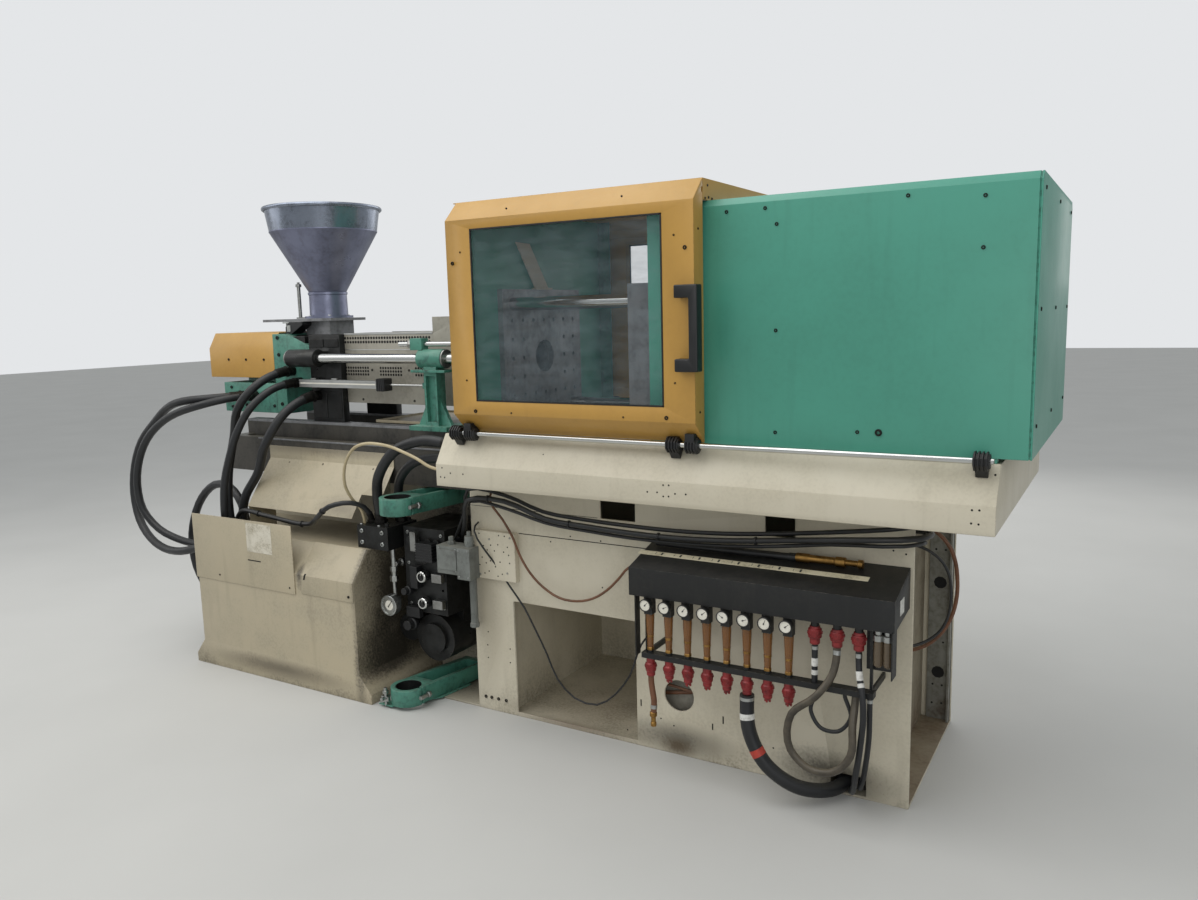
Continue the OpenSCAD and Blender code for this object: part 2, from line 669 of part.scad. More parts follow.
module pump_housing() color(cream) difference() {
    intersection() {
        housing_body(housing_section, 0);
        block([-base_x - skirt_out, housing_front, 0], [housing_x1 + skirt_out, housing_back, base_h]);
    }
    housing_body(housing_outline(housing_back + housing_wall + past), housing_wall);
    block([housing_x0 - past, housing_front + housing_wall, housing_fold_z - housing_wall],
        [well_x1, well_y1, housing_h + past]);
}

module pump_panels() color(cream) {
    block([housing_x0 - 7, housing_front - housing_wall, access_z0],
        [access_x1, housing_front, access_z1]);
    intersection() {
        difference() {
            prism_x(access_x1 + 35, housing_x1 - cover_sheet, inset(housing_section, -cover_sheet));
            prism_x(access_x1, housing_x1, housing_section);
        }
        block([access_x1, housing_front - 2 * cover_sheet, access_z0 + 9],
            [housing_x1, housing_front + housing_fold_y, housing_h + 2 * cover_sheet]);
    }
}

module pump_unit() color(black) {
    // motor inside the housing
    bar_x(pump_motor_x0, pump_motor_x0 + pump_motor_len, motor_y, motor_z, pump_motor_d);
    for (x = [pump_motor_x0 + motor_foot, pump_motor_x0 + pump_motor_len - 2 * motor_foot])
        block([x, motor_y - 70, housing_wall],
            [x + motor_foot, motor_y + 70, motor_z - pump_motor_d / 2 + motor_foot]);
    // pump and valve bodies in the open bay
    difference() {
        union() {
            block([-420, -360, 350], [-215, tank_front_y, pump_top]);
            block([-470, -300, 470], [-420, tank_front_y, housing_h]);
            bar_y(-330, tank_front_y, -310, 240, 190);
            block([-390, -250, 240], [-230, tank_front_y, 350]);
            bar_y(-345, -330, -310, 240, 120);
            bar_y(-300, tank_front_y, -470, 250, 110);
            for (x = [-385, -345, -290, -250])
                bar_y(-372, -360, x, pump_top - 50, 26);
            bar_y(-374, -360, -318, 570, 40);
        }
        bar_y(-360 - past, -340, -235, 450, 12);
    }
    for (z = [398, 504]) bar_y(-398, -360, -312, z, 12);
}

module hose_ports() color(iron) {
    block(port_block_lo, port_block_hi);
    for (p = [[-455, 515], [-390, 515]])
        bar_x(port_block_lo[0] - ferrule_len, port_block_lo[0], p[0], p[1], ferrule_d);
    for (p = [[-1380, -415], [-1332, -478], [-1320, -402], [-1350, -360]])
        bar_z(port_block_hi[2], port_block_hi[2] + ferrule_len, p[0], p[1], ferrule_d);
    bar_z(port_block_hi[2], port_block_hi[2] + ferrule_len, -1304, -448, 24);
    block([hose_slot_x + 4, -300, base_wall], [hose_slot_x + hose_slot_w, -250, base_wall + 44]);
}

module deck_cover() color(cream) {
    path = [[-bed_half, bed_z - 32], [-bed_half, deck_fold_z], [deck_front, deck_front_z]];
    cheek = [[-bed_half, housing_h], [-bed_half, deck_fold_z], [deck_front, deck_front_z],
        [deck_front, housing_h]];
    difference() {
        union() {
            prism_x(deck_x0, deck_x1, sheet(path, -cover_sheet));
            for (x = [deck_x0 + cover_sheet, housing_x1 - 2 * cover_sheet])
                prism_x(x, x + cover_sheet, cheek);
        }
        // notch over the manifold, for its hoses
        block([manifold_lo[0] - 15, deck_front - 2 * cover_sheet, housing_h - past],
            [deck_x1 + past, manifold_lo[1] + 75, manifold_hi[2] + 110]);
        block([manifold_lo[0] - 15, deck_front, housing_h - past],
            [deck_x1 + past, manifold_hi[1] + 10, manifold_hi[2] + 10]);
    }
    // white drip tray across the carriage ways, notched for the column support
    difference() {
        block([tray_x[0], tray_y[0], way_z], [tray_x[1], tray_y[1], way_z + tray_h]);
        block([tray_x[0] + cover_sheet, tray_y[0] + cover_sheet, way_z + cover_sheet],
            [tray_x[1] - cover_sheet, tray_y[1] - cover_sheet, way_z + tray_h + past]);
        block([support_x - support_foot / 2 - 4, foot_y0 - 4, way_z - past],
            [support_x + support_foot / 2 + 4, tray_y[1] + past, way_z + tray_h + past]);
    }
}

module machine_bed() color("#8f8b80") {
    difference() {
        block([bed_x0, -bed_half, tank_h], [valve_bay_x1, bed_half, bed_z]);
        block([bed_x0 + 60, -bed_half + 40, bed_z - 60],
            [valve_bay_x1 - 60, bed_half - 40, bed_z + past]);
    }
    both_sides()
        block([bed_x0 + 20, way_y - way_w / 2, bed_z - 60],
            [valve_bay_x1 - 20, way_y + way_w / 2, way_z]);
}

module apron() color(cream) difference() {
    prism_x(apron_x0, apron_x1, apron_section);
    prism_x(apron_x0 + apron_sheet, apron_x1 - apron_sheet, inset(apron_section, apron_sheet));
    block([apron_x0 - past, -slot_half, way_z], [apron_x1 - 60, slot_half, apron_top_z + past]);
}

module clamp_ways() color(iron) {
    both_sides()
        block([apron_x0 + 20, clamp_way_y[0], base_h + apron_sheet],
            [apron_x1 - 60, clamp_way_y[1], platen_z0]);
    for (x = [apron_x0 + 20, moving_back_x + 100, apron_x1 - 100])
        block([x, -clamp_way_y[0], base_h + apron_sheet], [x + 40, clamp_way_y[0], platen_z0 - 60]);
}

// Tie bar positions and the mould mounting holes on a platen's face
module at_tie_bars()
    for (y = [-1, 1], z = [-1, 1])
        translate([0, y * tie_pitch / 2, axis_z + z * tie_pitch / 2]) children();
module mould_holes(x0, x1)
    for (i = [-3 : 3], j = [-3 : 3])
        if (norm([i, j]) > 1.5 && norm([i, j]) < 4)
            bar_x(x0, x1, i * mould_hole_pitch, axis_z + j * mould_hole_pitch, mould_hole_d);
module platen_block(x0, x1, lift = 0)
    block([x0, -platen_w / 2, platen_z0 + lift], [x1, platen_w / 2, platen_z0 + platen_h]);

module fixed_platen() color(iron) difference() {
    platen_block(fixed_back_x, fixed_face_x);
    at_tie_bars() bar_x(fixed_back_x - past, fixed_face_x + past, 0, 0, tie_d + 2 * run_gap);
    bar_x(fixed_back_x - past, fixed_face_x + past, 0, axis_z, nozzle_bore_d);
    bar_x(fixed_face_x - centring_deep, fixed_face_x + past, 0, axis_z, centring_d);
    mould_holes(fixed_face_x - mould_hole_deep, fixed_face_x + past);
}

module tie_bars() color(bright) at_tie_bars() {
    bar_x(fixed_back_x - tie_nut_len - 10, cylinder_x + tie_nut_len + 10, 0, 0, tie_d);
    for (x = [fixed_back_x - tie_nut_len, cylinder_x]) difference() {
        bar_x(x, x + tie_nut_len, 0, 0, tie_nut_d);
        for (a = [0 : 60 : 300]) rotate([a, 0, 0])
            block([x - past, tie_nut_d / 2 - 5, -4], [x + tie_nut_len + past, tie_nut_d, 4]);
    }
}

module clamp_cylinder() color(teal) difference() {
    union() {
        platen_block(cylinder_platen_x, cylinder_x);
        bar_x(cylinder_x, cylinder_x + cylinder_len, 0, axis_z, cylinder_d);
        bar_x(cylinder_x + cylinder_len - 60, cylinder_x + cylinder_len, 0, axis_z,
            cylinder_d + 30);
    }
    at_tie_bars()
        bar_x(cylinder_platen_x - past, cylinder_x + past, 0, 0, tie_d + 2 * run_gap);
    bar_x(cylinder_platen_x - past, cylinder_x + past, 0, axis_z, piston_rod_d + 2 * run_gap);
    bar_x(cylinder_x, cylinder_x + cylinder_len - 20, 0, axis_z, cylinder_bore);
}

module clamp_cover() color(teal) {
    difference() {
        prism_x(cover_x0, cover_x1, cover_section);
        prism_x(cover_x0 - past, cover_x1 + past, inset(cover_section, cover_sheet));
        block([cover_x0 - past, -cover_half + cover_sheet, cover_z0 - past],
            [cover_x1 + past, cover_half - cover_sheet, cover_z0 + 2 * cover_sheet]);
    }
    both_sides()
        block([cover_x0 + 10, cover_half - 30, apron_top_z],
            [apron_x1 - 10, cover_half - cover_sheet, cover_z0 + 20]);
}

module clamp_end_panel() color(teal) {
    prism_x(cover_x1 + seam, cover_x1 + seam + end_panel_t, cover_section);
    prism_x(cover_x1, cover_x1 + seam, inset(cover_section, cover_sheet / 2));
}

module mould_hood() color(yellow) {
    block([mould_wall_x, -hood_half, hood_top - cover_sheet], [door_x1, hood_half, hood_top]);
    both_sides()
        block([door_x0, hood_half - cover_sheet, hood_top - 40], [door_x1, hood_half, hood_top]);
    block([door_x1 - cover_sheet, -hood_half, cover_top], [door_x1, hood_half, hood_top]);
}

module mould_wall() color(teal) difference() {
    block([mould_wall_x, -cover_half + cover_sheet, apron_top_z],
        [mould_wall_x + mould_wall_t, cover_half - cover_sheet, hood_top - cover_sheet]);
    block([mould_wall_x - past, -platen_w / 2, apron_top_z - past],
        [mould_wall_x + mould_wall_t + past, platen_w / 2, platen_z0 + platen_h]);
}

// A door's folded sheet, open at the back
module door_shell() {
    open_back = [[-door_face, door_z0], [-door_back + 10, door_z0 - door_fold - 10],
        [-door_back + 10, door_z1 + door_fold + 10], [-door_face, door_z1]];
    difference() {
        prism_x(door_x0, door_x1, door_section);
        prism_x(door_x0 + door_sheet, door_x1 - door_sheet, inset(open_back, door_sheet));
        block([window_x0, -door_face - past, window_z0],
            [window_x1, -door_face + door_sheet + past, window_z1]);
        block([door_x0 - past, -door_back - 9, guide_strip_z - 4],
            [door_x1 + past, -door_back + past, guide_strip_z + guide_strip_t + 4]);
    }
}

module window_pane()
    block([window_x0 - 15, -door_face + door_sheet, window_z0 - 15],
        [window_x1 + 15, -door_face + door_sheet + pane_t, window_z1 + 15]);

// A ribbed block round a door rail, trimmed below the door's slope
module ribbed_block(x, bore, trim) difference() {
    union() {
        bar_x(x, x + rail_block_len, -rail_y, rail_z, rail_block_d - 8);
        for (i = [0 : 4])
            bar_x(x + i * (rail_block_len - 6) / 4, x + i * (rail_block_len - 6) / 4 + 6,
                -rail_y, rail_z, rail_block_d);
    }
    bar_x(x - past, x + rail_block_len + past, -rail_y, rail_z, bore);
    prism_x(x - past, x + rail_block_len + past,
        [[-600, 600 + door_slope_c - trim], [-400, 400 + door_slope_c - trim],
         [-400, 600 + door_slope_c - trim]]);
}

// The blocks on the door rail and the shoes on the upper guide strip
module runner_set() {
    for (x = [runner_1_x, runner_2_x]) ribbed_block(x, rail_d + 2 * run_gap, 0);
    shoe_z = guide_strip_z + guide_strip_t + slide_gap;
    shoe_c = door_z1 + door_face - door_sheet * sqrt(2);
    shoe_y = -hood_half - 2;
    for (x = [door_x0 + 19, door_x0 + 119])
        prism_x(x, x + 60, [[shoe_z - shoe_c, shoe_z], [shoe_y, shoe_z], [shoe_y, shoe_y + shoe_c]]);
}

module door_rails() color(bright) both_sides() {
    bar_x(bracket_1_x, bracket_3_x + rail_block_len, -rail_y, rail_z, rail_d);
    block([door_x0 + 5, -hood_half - 8, guide_strip_z],
        [door_x1 - 5, -hood_half, guide_strip_z + guide_strip_t]);
}

module rail_brackets() color(black) both_sides()
    for (x = [bracket_1_x, bracket_2_x, bracket_3_x]) {
        ribbed_block(x, rail_d, 3);
        difference() {
            prism_x(x + 5, x + rail_block_len - 5, [rail_at + slope_up * 14,
                rail_at - slope_up * 20, rail_foot - slope_up * 30, rail_foot + slope_up * 8]);
            bar_x(x, x + rail_block_len, -rail_y, rail_z, rail_block_d - 12);
        }
    }

module door_frame() color(yellow) door_shell();
module door_window() color("#8fa39f", 0.5) window_pane();
module door_handle() color(black)
    prism_y(-door_face - 38, -door_face, [[881, 1322], [955, 1322], [955, 1573], [881, 1573],
        [881, 1535], [927, 1535], [927, 1360], [881, 1360]]);
module door_runners() color(black) runner_set();
module rear_door_frame() color(yellow) mirror([0, 1, 0]) door_shell();
module rear_door_window() color("#8fa39f", 0.5) mirror([0, 1, 0]) window_pane();
module rear_door_runners() color(black) mirror([0, 1, 0]) runner_set();

module moving_platen() color(iron) difference() {
    union() {
        platen_block(moving_face_x, moving_back_x, slide_gap);
        for (y = [-140, 110])
            block([moving_back_x, y, axis_z - 120], [flange_x, y + 30, axis_z + 120]);
        block([flange_x, -140, axis_z - 140], [flange_x + flange_t, 140, axis_z + 140]);
    }
    at_tie_bars() bar_x(moving_face_x - past, moving_back_x + past, 0, 0, tie_d + 2 * run_gap);
    bar_x(moving_face_x - past, moving_back_x + past, 0, axis_z, ejector_bore_d);
    mould_holes(moving_face_x - past, moving_face_x + mould_hole_deep);
}

module clamp_piston() color(bright) {
    bar_x(flange_x + flange_t, piston_x1, 0, axis_z, piston_rod_d);
    bar_x(piston_x1 - piston_len, piston_x1, 0, axis_z, cylinder_bore - 2 * run_gap);
}

module ejector() color(bright) {
    bar_x(moving_face_x + 5, ejector_plate_x, 0, axis_z, ejector_bore_d - 2 * run_gap);
    block([ejector_plate_x, -100, axis_z - 100],
        [ejector_plate_x + ejector_plate_t, 100, axis_z + 100]);
}

module guide_rods() color(bright) {
    both_sides() {
        bar_x(column_x0, fixed_back_x, column_y, axis_z, column_d);
        bar_x(-500, fixed_back_x, column_y, axis_z + pull_rod_up, pull_rod_d);
    }
    bar_x(transducer_x1 - 60, rod_lug_x, transducer_y, transducer_z, transducer_rod_d);
}

module column_support() color(teal) {
    foot_top = way_z + 18;
    both_sides() {
        difference() {
            bar_x(support_x - 60, support_x + 60, column_y, axis_z, ring_d);
            bar_x(support_x - 61, support_x + 61, column_y, axis_z, column_d);
        }
        block([support_x - 85, column_y - 40, axis_z - 52], [support_x + 85, column_y + 40, axis_z - 42]);
        difference() {
            block([support_x - 32, column_y - 26, foot_top], [support_x + 32, column_y + 26, axis_z - 30]);
            for (y = [column_y - 27, column_y + 8])
                block([support_x - 22, y, foot_top + 14], [support_x + 22, y + 19, axis_z - 66]);
        }
        block([support_x - support_foot / 2, foot_y0, way_z],
            [support_x + support_foot / 2, column_y + 55, foot_top]);
        for (side = [-1, 1])
            prism_y(column_y - 8, column_y + 8, [[support_x + side * 30, foot_top],
                [support_x + side * (support_foot / 2 - 12), foot_top], [support_x + side * 30, 1180]]);
        difference() {
            block([support_x - 100, column_y - 20, axis_z + ring_d / 2 - 4],
                [support_x - 40, column_y + 20, axis_z + 80]);
            bar_x(support_x - 101, support_x - 39, column_y, axis_z + pull_rod_up, pull_rod_d);
            bar_x(support_x - 101, support_x - 39, column_y, axis_z, ring_d);
        }
    }
    block([rod_lug_x, transducer_y - 10, transducer_z - 12],
        [support_x - 32, transducer_y + 12, transducer_z + 12]);
}

module injection_block() color(black) difference() {
    union() {
        block([drive_x1, -100, axis_z - 98], [block_x1, 100, block_top]);
        block([block_x0, -block_half, flank_z0], [block_x1, block_half, block_top]);
        both_sides() {
            bar_x(lug_x0, lug_x1, column_y, axis_z, ring_d);
            block([lug_x0, block_half, axis_z - 28], [lug_x1, column_y, axis_z + 28]);
        }
    }
    // middle of the foot cleared between the ways
    block([block_x0 - past, -way_y + way_w / 2, flank_z0 - past],
        [block_x1 + past, way_y - way_w / 2, axis_z - 158]);
    bar_x(drive_x1 - past, block_x1 + past, 0, axis_z, screw_d + 1);
    bar_z(axis_z, block_top + past, hopper_x, 0, feed_d);
    both_sides()
        bar_x(lug_x0 - past, lug_x1 + past, column_y, axis_z, column_d + 2 * run_gap);
}

module drive_plate() color(teal) {
    difference() {
        block([drive_x0, -block_half, manifold_box_z0 - 1], [drive_x1, block_half, block_top + 6]);
        bar_x(drive_x0 - past, drive_x1 + past, 0, axis_z, piston_rod + 2 * run_gap);
    }
    both_sides()
        prism_y(block_half - 30, block_half, [[drive_x1, manifold_box_z1], [block_x0, manifold_box_z1],
            [block_x0, axis_z + 52], [drive_x1 + 60, block_top - 6], [drive_x1, block_top + 6]]);
}

module motor_cover() color(yellow) difference() {
    outline = [[-block_half, motor_cover_z0], [block_half, motor_cover_z0],
        [block_half, motor_cover_top - 70], [block_half - 40, motor_cover_top],
        [-block_half + 40, motor_cover_top], [-block_half, motor_cover_top - 70]];
    prism_x(motor_cover_x0, drive_x0, outline);
    prism_x(motor_cover_x0 + cover_sheet, drive_x0 + past, inset(outline, cover_sheet));
    block([motor_cover_x0 + cover_sheet, -block_half + cover_sheet, motor_cover_z0 - past],
        [drive_x0 + past, block_half - cover_sheet, motor_cover_z0 + 2 * cover_sheet]);
}

module manifold_box() color(teal) {
    block([manifold_box_x0, -block_half, manifold_box_z0], [drive_x0, block_half, manifold_box_z1]);
    block([manifold_box_x0 + 60, -90, manifold_box_z1], [drive_x0, 90, axis_z - 85]);
}

module injection_cylinder() color(iron) {
    difference() {
        bar_x(drive_x0 - 217, drive_x0, 0, axis_z, 170);
        bar_x(drive_x0 - 207, drive_x0 + past, 0, axis_z, piston_d + 2 * run_gap);
    }
    bar_x(drive_x0 - 377, drive_x0 - 217, 0, axis_z, 140);
}

module injection_piston() color(bright) {
    bar_x(drive_x0 - 57, drive_x0 - 27, 0, axis_z, piston_d);
    bar_x(drive_x0 - 27, drive_x1 - slide_gap, 0, axis_z, piston_rod);
}

module barrel() color(iron) difference() {
    union() {
        bar_x(block_x1, barrel_x1, 0, axis_z, barrel_d);
        bar_x(block_x1, block_x1 + 30, 0, axis_z, barrel_d + 50);
        for (i = [0 : 5]) bar_x(band_x0 + i * band_step, band_x0 + (i + 1) * band_step - 16, 0, axis_z,
            barrel_d + 16);
        bar_x(barrel_x1, barrel_x1 + 35, 0, axis_z, 62);
        translate([barrel_x1 + 35, 0, axis_z]) rotate([0, 90, 0])
            cylinder(h = nozzle_tip_x - barrel_x1 - 35, d1 = 44, d2 = 20);
    }
    bar_x(block_x1 - past, barrel_x1 - 5, 0, axis_z, screw_d + 1);
    bar_x(barrel_x1 - 6, nozzle_tip_x + past, 0, axis_z, 8);
}

// A shank, and a core with one twisted flight along it
module plasticising_screw() color(bright) {
    flight_x0 = drive_x1 + screw_stroke + 1;
    bar_x(drive_x1, flight_x0 + 10, 0, axis_z, 40);
    core = screw_d * 0.34;
    translate([flight_x0, 0, axis_z]) rotate([0, 90, 0])
        linear_extrude(barrel_x1 - 40 - flight_x0, twist = -360 * 12, slices = 132, $fn = 7)
            polygon([[screw_d / 2 - 0.8, -4], [screw_d / 2 - 0.8, 4], [core, 7], [0, core], [-core, 0],
                [0, -core], [core, -7]]);
}

module barrel_guard() color(cream) {
    outline = [[-guard_half, guard_z0], [guard_half, guard_z0], [guard_half, block_top],
        [-guard_half, block_top]];
    difference() {
        prism_x(block_x1, guard_x1, outline);
        prism_x(block_x1 - past, guard_x1 + past, inset(outline, cover_sheet));
        block([block_x1 - past, -guard_half + cover_sheet, guard_z0 - past],
            [guard_x1 + past, guard_half - cover_sheet, guard_z0 + 2 * cover_sheet]);
    }
    block([guard_x1 - 170, -guard_half, block_top], [guard_x1, guard_half, block_top + 65]);
}

module position_transducer() color(bright) {
    half = transducer_d / 2;
    difference() {
        block([transducer_x0, transducer_y - half, transducer_z - half],
            [transducer_x1, transducer_y + half, transducer_z + half]);
        bar_x(transducer_x1 - 170, transducer_x1 + past, transducer_y, transducer_z,
            transducer_rod_d + 2 * run_gap);
        for (z = [-1, 1])
            block([transducer_x0 - past, transducer_y - half - past, transducer_z + z * 8 - 2],
                [transducer_x1 + past, transducer_y - half + 3, transducer_z + z * 8 + 2]);
    }
    difference() {
        block([transducer_x1, transducer_y - 21, transducer_z - 21],
            [transducer_x1 + 40, transducer_y + 21, transducer_z + 21]);
        bar_x(transducer_x1 - past, transducer_x1 + 41, transducer_y, transducer_z,
            transducer_rod_d + 2 * run_gap);
    }
    for (x = [block_x0 + 15, block_x1 - 45])
        block([x, transducer_y + half, transducer_z - 20], [x + 30, -block_half, transducer_z + 20]);
}

module hose_stubs() color(iron)
    for (route = hydraulic_routes)
        bar_y(-block_half - ferrule_len, -block_half, route[0][0], route[0][2], ferrule_d);

module hopper_slide() color(bright) {
    difference() {
        union() {
            block([hopper_x - 75, -72, block_top], [hopper_x + 75, 72, hopper_base_z - 12]);
            block([-1446, -105, hopper_base_z - 12], [hopper_x + 118, 105, hopper_base_z - slide_gap]);
        }
        bar_z(block_top - past, hopper_base_z, hopper_x, 0, feed_d);
    }
    block([drive_x0 + 3, -100, block_top + 6], [drive_x1 - 5, -40, hopper_base_z - 12]);
}

module hopper() color("#3a3633") translate([hopper_x, 0, 0]) rotate_extrude() {
    neck = hopper_neck_d / 2;
    shoulder = hopper_shoulder_d / 2;
    rim = hopper_rim_d / 2;
    t = hopper_sheet;
    polygon([[feed_d / 2, hopper_base_z], [105, hopper_base_z], [105, hopper_base_z + 10],
        [neck, hopper_base_z + 10], [neck, hopper_neck_z], [shoulder, hopper_shoulder_z],
        [rim + t, hopper_top - 4], [rim, hopper_top - 4], [shoulder - t, hopper_shoulder_z],
        [neck - t, hopper_neck_z], [neck - t, hopper_base_z + 10], [feed_d / 2, hopper_base_z + 10]]);
    translate([rim + t, hopper_top - hopper_bead / 2]) circle(d = hopper_bead);
}

// One clamp arm in plan, from its ring back to the tank's front face
module clamp_arm(z1) {
    root = [[-350, tank_front_y], [-240, tank_front_y]];
    ring = [clamp_x, -clamp_y];
    arm = [root[0], ring + [-clamp_outer_d / 2 + 6, 20], ring + [clamp_outer_d / 2 - 3, 20], root[1]];
    translate([0, 0, z1 - clamp_arm_h]) difference() {
        union() {
            translate(ring) cylinder(h = clamp_arm_h, d = clamp_outer_d);
            linear_extrude(clamp_arm_h) polygon(arm);
        }
        translate([ring[0], ring[1], -past]) cylinder(h = clamp_arm_h + 2 * past, d = clamp_bore_d);
        translate([0, 0, 12]) linear_extrude(clamp_arm_h) polygon([root[0] + [24, -30],
            ring + [-clamp_outer_d / 2 + 34, clamp_outer_d / 2 + 12],
            ring + [clamp_outer_d / 2 - 16, clamp_outer_d / 2 + 12], root[1] + [-18, -30]]);
        translate([ring[0] + clamp_bore_d / 2 - 4, ring[1] - 3, -past])
            cube([clamp_outer_d / 2, 6, clamp_arm_h + 2 * past]);
    }
}

module accumulator_clamps() color(arm_teal)
    for (z = [clamp_upper_z, clamp_lower_z]) clamp_arm(z);

module hydraulic_manifold() color(iron) {
    block(manifold_lo, manifold_hi);
    for (y = [-400, -275]) bar_z(manifold_hi[2], manifold_hi[2] + 14, -468, y, 18);
}

module pressure_gauge() color(bright) {
    bar_y(-432, -402, -456, gauge_z, gauge_d);
    bar_z(gauge_z, housing_h, -456, -390, 16);
    block([-472, -402, gauge_z - 8], [-440, -376, gauge_z + 24]);
    block([-476, -408, gauge_z + 90], [-436, -372, gauge_z + 160]);
}

module solenoid_valve() color(iron) {
    block([-205, -420, valve_z0 + 13], [-105, -350, valve_z1]);
    block([-105, -425, valve_z0], [-45, -base_half, valve_z1]);
    bar_z(valve_z1, valve_z1 + 40, -75, -385, 34);
    bar_z(valve_z0 - 195, valve_z0, -75, -372, 28);
}

module cooling_housing() color(black) {
    path = [[-cool_face + 9, cool_z0], [-cool_face, cool_z0], [-cool_face, cool_z1],
        [-base_half - past, cool_top]];
    prism_x(cool_x0, cool_x1, sheet(path, -cover_sheet));
    cap = [[-base_half, cool_z0 + 20], [-base_half, cool_top - 2 * cover_sheet],
        [-cool_face + cover_sheet, cool_z1 - cover_sheet], [-cool_face + cover_sheet, cool_z0]];
    for (x = [cool_x0, cool_x1 - cover_sheet]) prism_x(x, x + cover_sheet, cap);
}

function tube_x(i) = 743 + cool_pitch * i;
upper_couplings = [1280, 1345, 1407];
bowls = [1460, 1487];

module flow_meter_frame() color(black) {
    block([cool_x0 + cover_sheet, -520, 620], [cool_x1 - cover_sheet, -480, 660]);
    for (i = [0 : cool_count - 1]) {
        block([tube_x(i) - 14, -520, 548], [tube_x(i) + 14, -492, 620]);
        bar_y(-535, -520, tube_x(i), 583, dial_d - 2);
        bar_z(cool_rail_z + 10, 436, tube_x(i), -506, 20);
    }
    for (x = upper_couplings) bar_z(590, 620, x, -506, 24);
    for (x = bowls) bar_z(590, 620, x, -500, 16);
    block([718, -522, cool_rail_z - 8], [1453, -490, cool_rail_z + 10]);
    for (x = [722, 1437]) {
        block([x, -490, cool_rail_z - 8], [x + 8, -base_half, cool_rail_z + 10]);
        block([x, -500, cool_rail_z + 10], [x + 8, -490, 620]);
    }
}

module cooling_dials() color("#d8d6cc")
    for (i = [0 : cool_count - 1]) bar_y(-541, -535, tube_x(i), 583, dial_d);

module flow_tubes() color(amber) {
    for (i = [0 : cool_count - 1]) bar_z(436, 548, tube_x(i), -506, flow_tube_d);
    for (x = bowls) bar_z(500, 590, x, -500, 24);
}

module hose_couplings() color(red) {
    for (i = [0 : cool_count - 1]) {
        bar_z(340, cool_rail_z - 8, tube_x(i), -506, coupling_d - 8);
        bar_z(356, 384, tube_x(i), -506, coupling_d);
    }
    for (x = upper_couplings) {
        bar_z(535, 590, x, -506, coupling_d - 6);
        bar_z(556, 582, x, -506, coupling_d + 4);
    }
}

module valve_knob(z) color(black) difference() {
    bar_y(-396, -361, -312, z, valve_knob_d);
    bar_y(-397, -360, -312, z, 12 + 2 * run_gap);
    for (a = [0 : 30 : 330]) translate([-312, 0, z]) rotate([0, a, 0])
        block([valve_knob_d / 2 - 1.5, -391, -2], [valve_knob_d, -366, 2]);
}
module valve_knob_1() valve_knob(504);
module valve_knob_2() valve_knob(398);

module hydraulic_hoses() color(rubber) tubes(hydraulic_routes, hydraulic_d);
module deck_hoses() color(rubber) tubes(deck_routes, deck_d);
module cable_bundle() color(rubber) tubes(bundle_routes, bundle_d);
module loose_cables() color(rubber) tubes(loose_routes, loose_d);
module cooling_hoses() color(rubber) tubes(cooling_routes, cooling_d);

base_frame();
pump_housing();
pump_panels();
pump_unit();
hose_ports();
deck_cover();
machine_bed();
apron();
clamp_ways();
fixed_platen();
tie_bars();
clamp_cylinder();
clamp_cover();
clamp_end_panel();
mould_hood();
mould_wall();
door_rails();
rail_brackets();
guide_rods();
column_support();
accumulator_clamps();
hydraulic_manifold();
pressure_gauge();
solenoid_valve();
cooling_housing();
flow_meter_frame();
cooling_dials();
flow_tubes();
hose_couplings();
door_frame();
door_window();
door_handle();
door_runners();
rear_door_frame();
rear_door_window();
rear_door_runners();
moving_platen();
clamp_piston();
ejector();
injection_block();
drive_plate();
motor_cover();
manifold_box();
injection_cylinder();
barrel();
barrel_guard();
position_transducer();
hose_stubs();
hopper_slide();
hopper();
injection_piston();
plasticising_screw();
valve_knob_1();
valve_knob_2();
hydraulic_hoses();
deck_hoses();
cable_bundle();
loose_cables();
cooling_hoses();
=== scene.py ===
# Injection moulding machine: finishes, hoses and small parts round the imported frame.
# Sizes are millimetres, as in the part's source; routes, camera and lamps are metres.
import json
import math

import bmesh
import bpy
from mathutils import Matrix, Vector


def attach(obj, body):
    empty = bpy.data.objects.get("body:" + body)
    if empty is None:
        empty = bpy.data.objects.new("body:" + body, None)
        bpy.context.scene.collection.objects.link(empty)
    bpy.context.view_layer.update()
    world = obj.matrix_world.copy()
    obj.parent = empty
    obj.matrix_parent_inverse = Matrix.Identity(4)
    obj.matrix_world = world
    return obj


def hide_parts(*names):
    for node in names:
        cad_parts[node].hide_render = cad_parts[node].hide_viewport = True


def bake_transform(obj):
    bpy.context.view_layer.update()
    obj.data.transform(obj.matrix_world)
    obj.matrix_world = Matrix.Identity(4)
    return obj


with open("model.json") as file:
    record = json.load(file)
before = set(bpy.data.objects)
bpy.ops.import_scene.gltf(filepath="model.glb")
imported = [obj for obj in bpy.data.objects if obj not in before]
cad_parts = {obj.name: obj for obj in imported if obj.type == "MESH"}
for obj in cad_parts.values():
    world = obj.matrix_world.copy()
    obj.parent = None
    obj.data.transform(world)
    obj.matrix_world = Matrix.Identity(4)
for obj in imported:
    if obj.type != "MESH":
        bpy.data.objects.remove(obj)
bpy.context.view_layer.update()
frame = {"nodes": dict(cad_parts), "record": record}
cadNodes = frame["nodes"]
bodyOf = {node: body for body, members in frame["record"]["behaviour"]["bodies"].items()
          for node in members}


def linearColour(hexText):
    channels = [int(hexText[i:i + 2], 16) / 255 for i in (1, 3, 5)]
    return tuple(c / 12.92 if c <= 0.04045 else ((c + 0.055) / 1.055) ** 2.4
                 for c in channels) + (1.0,)


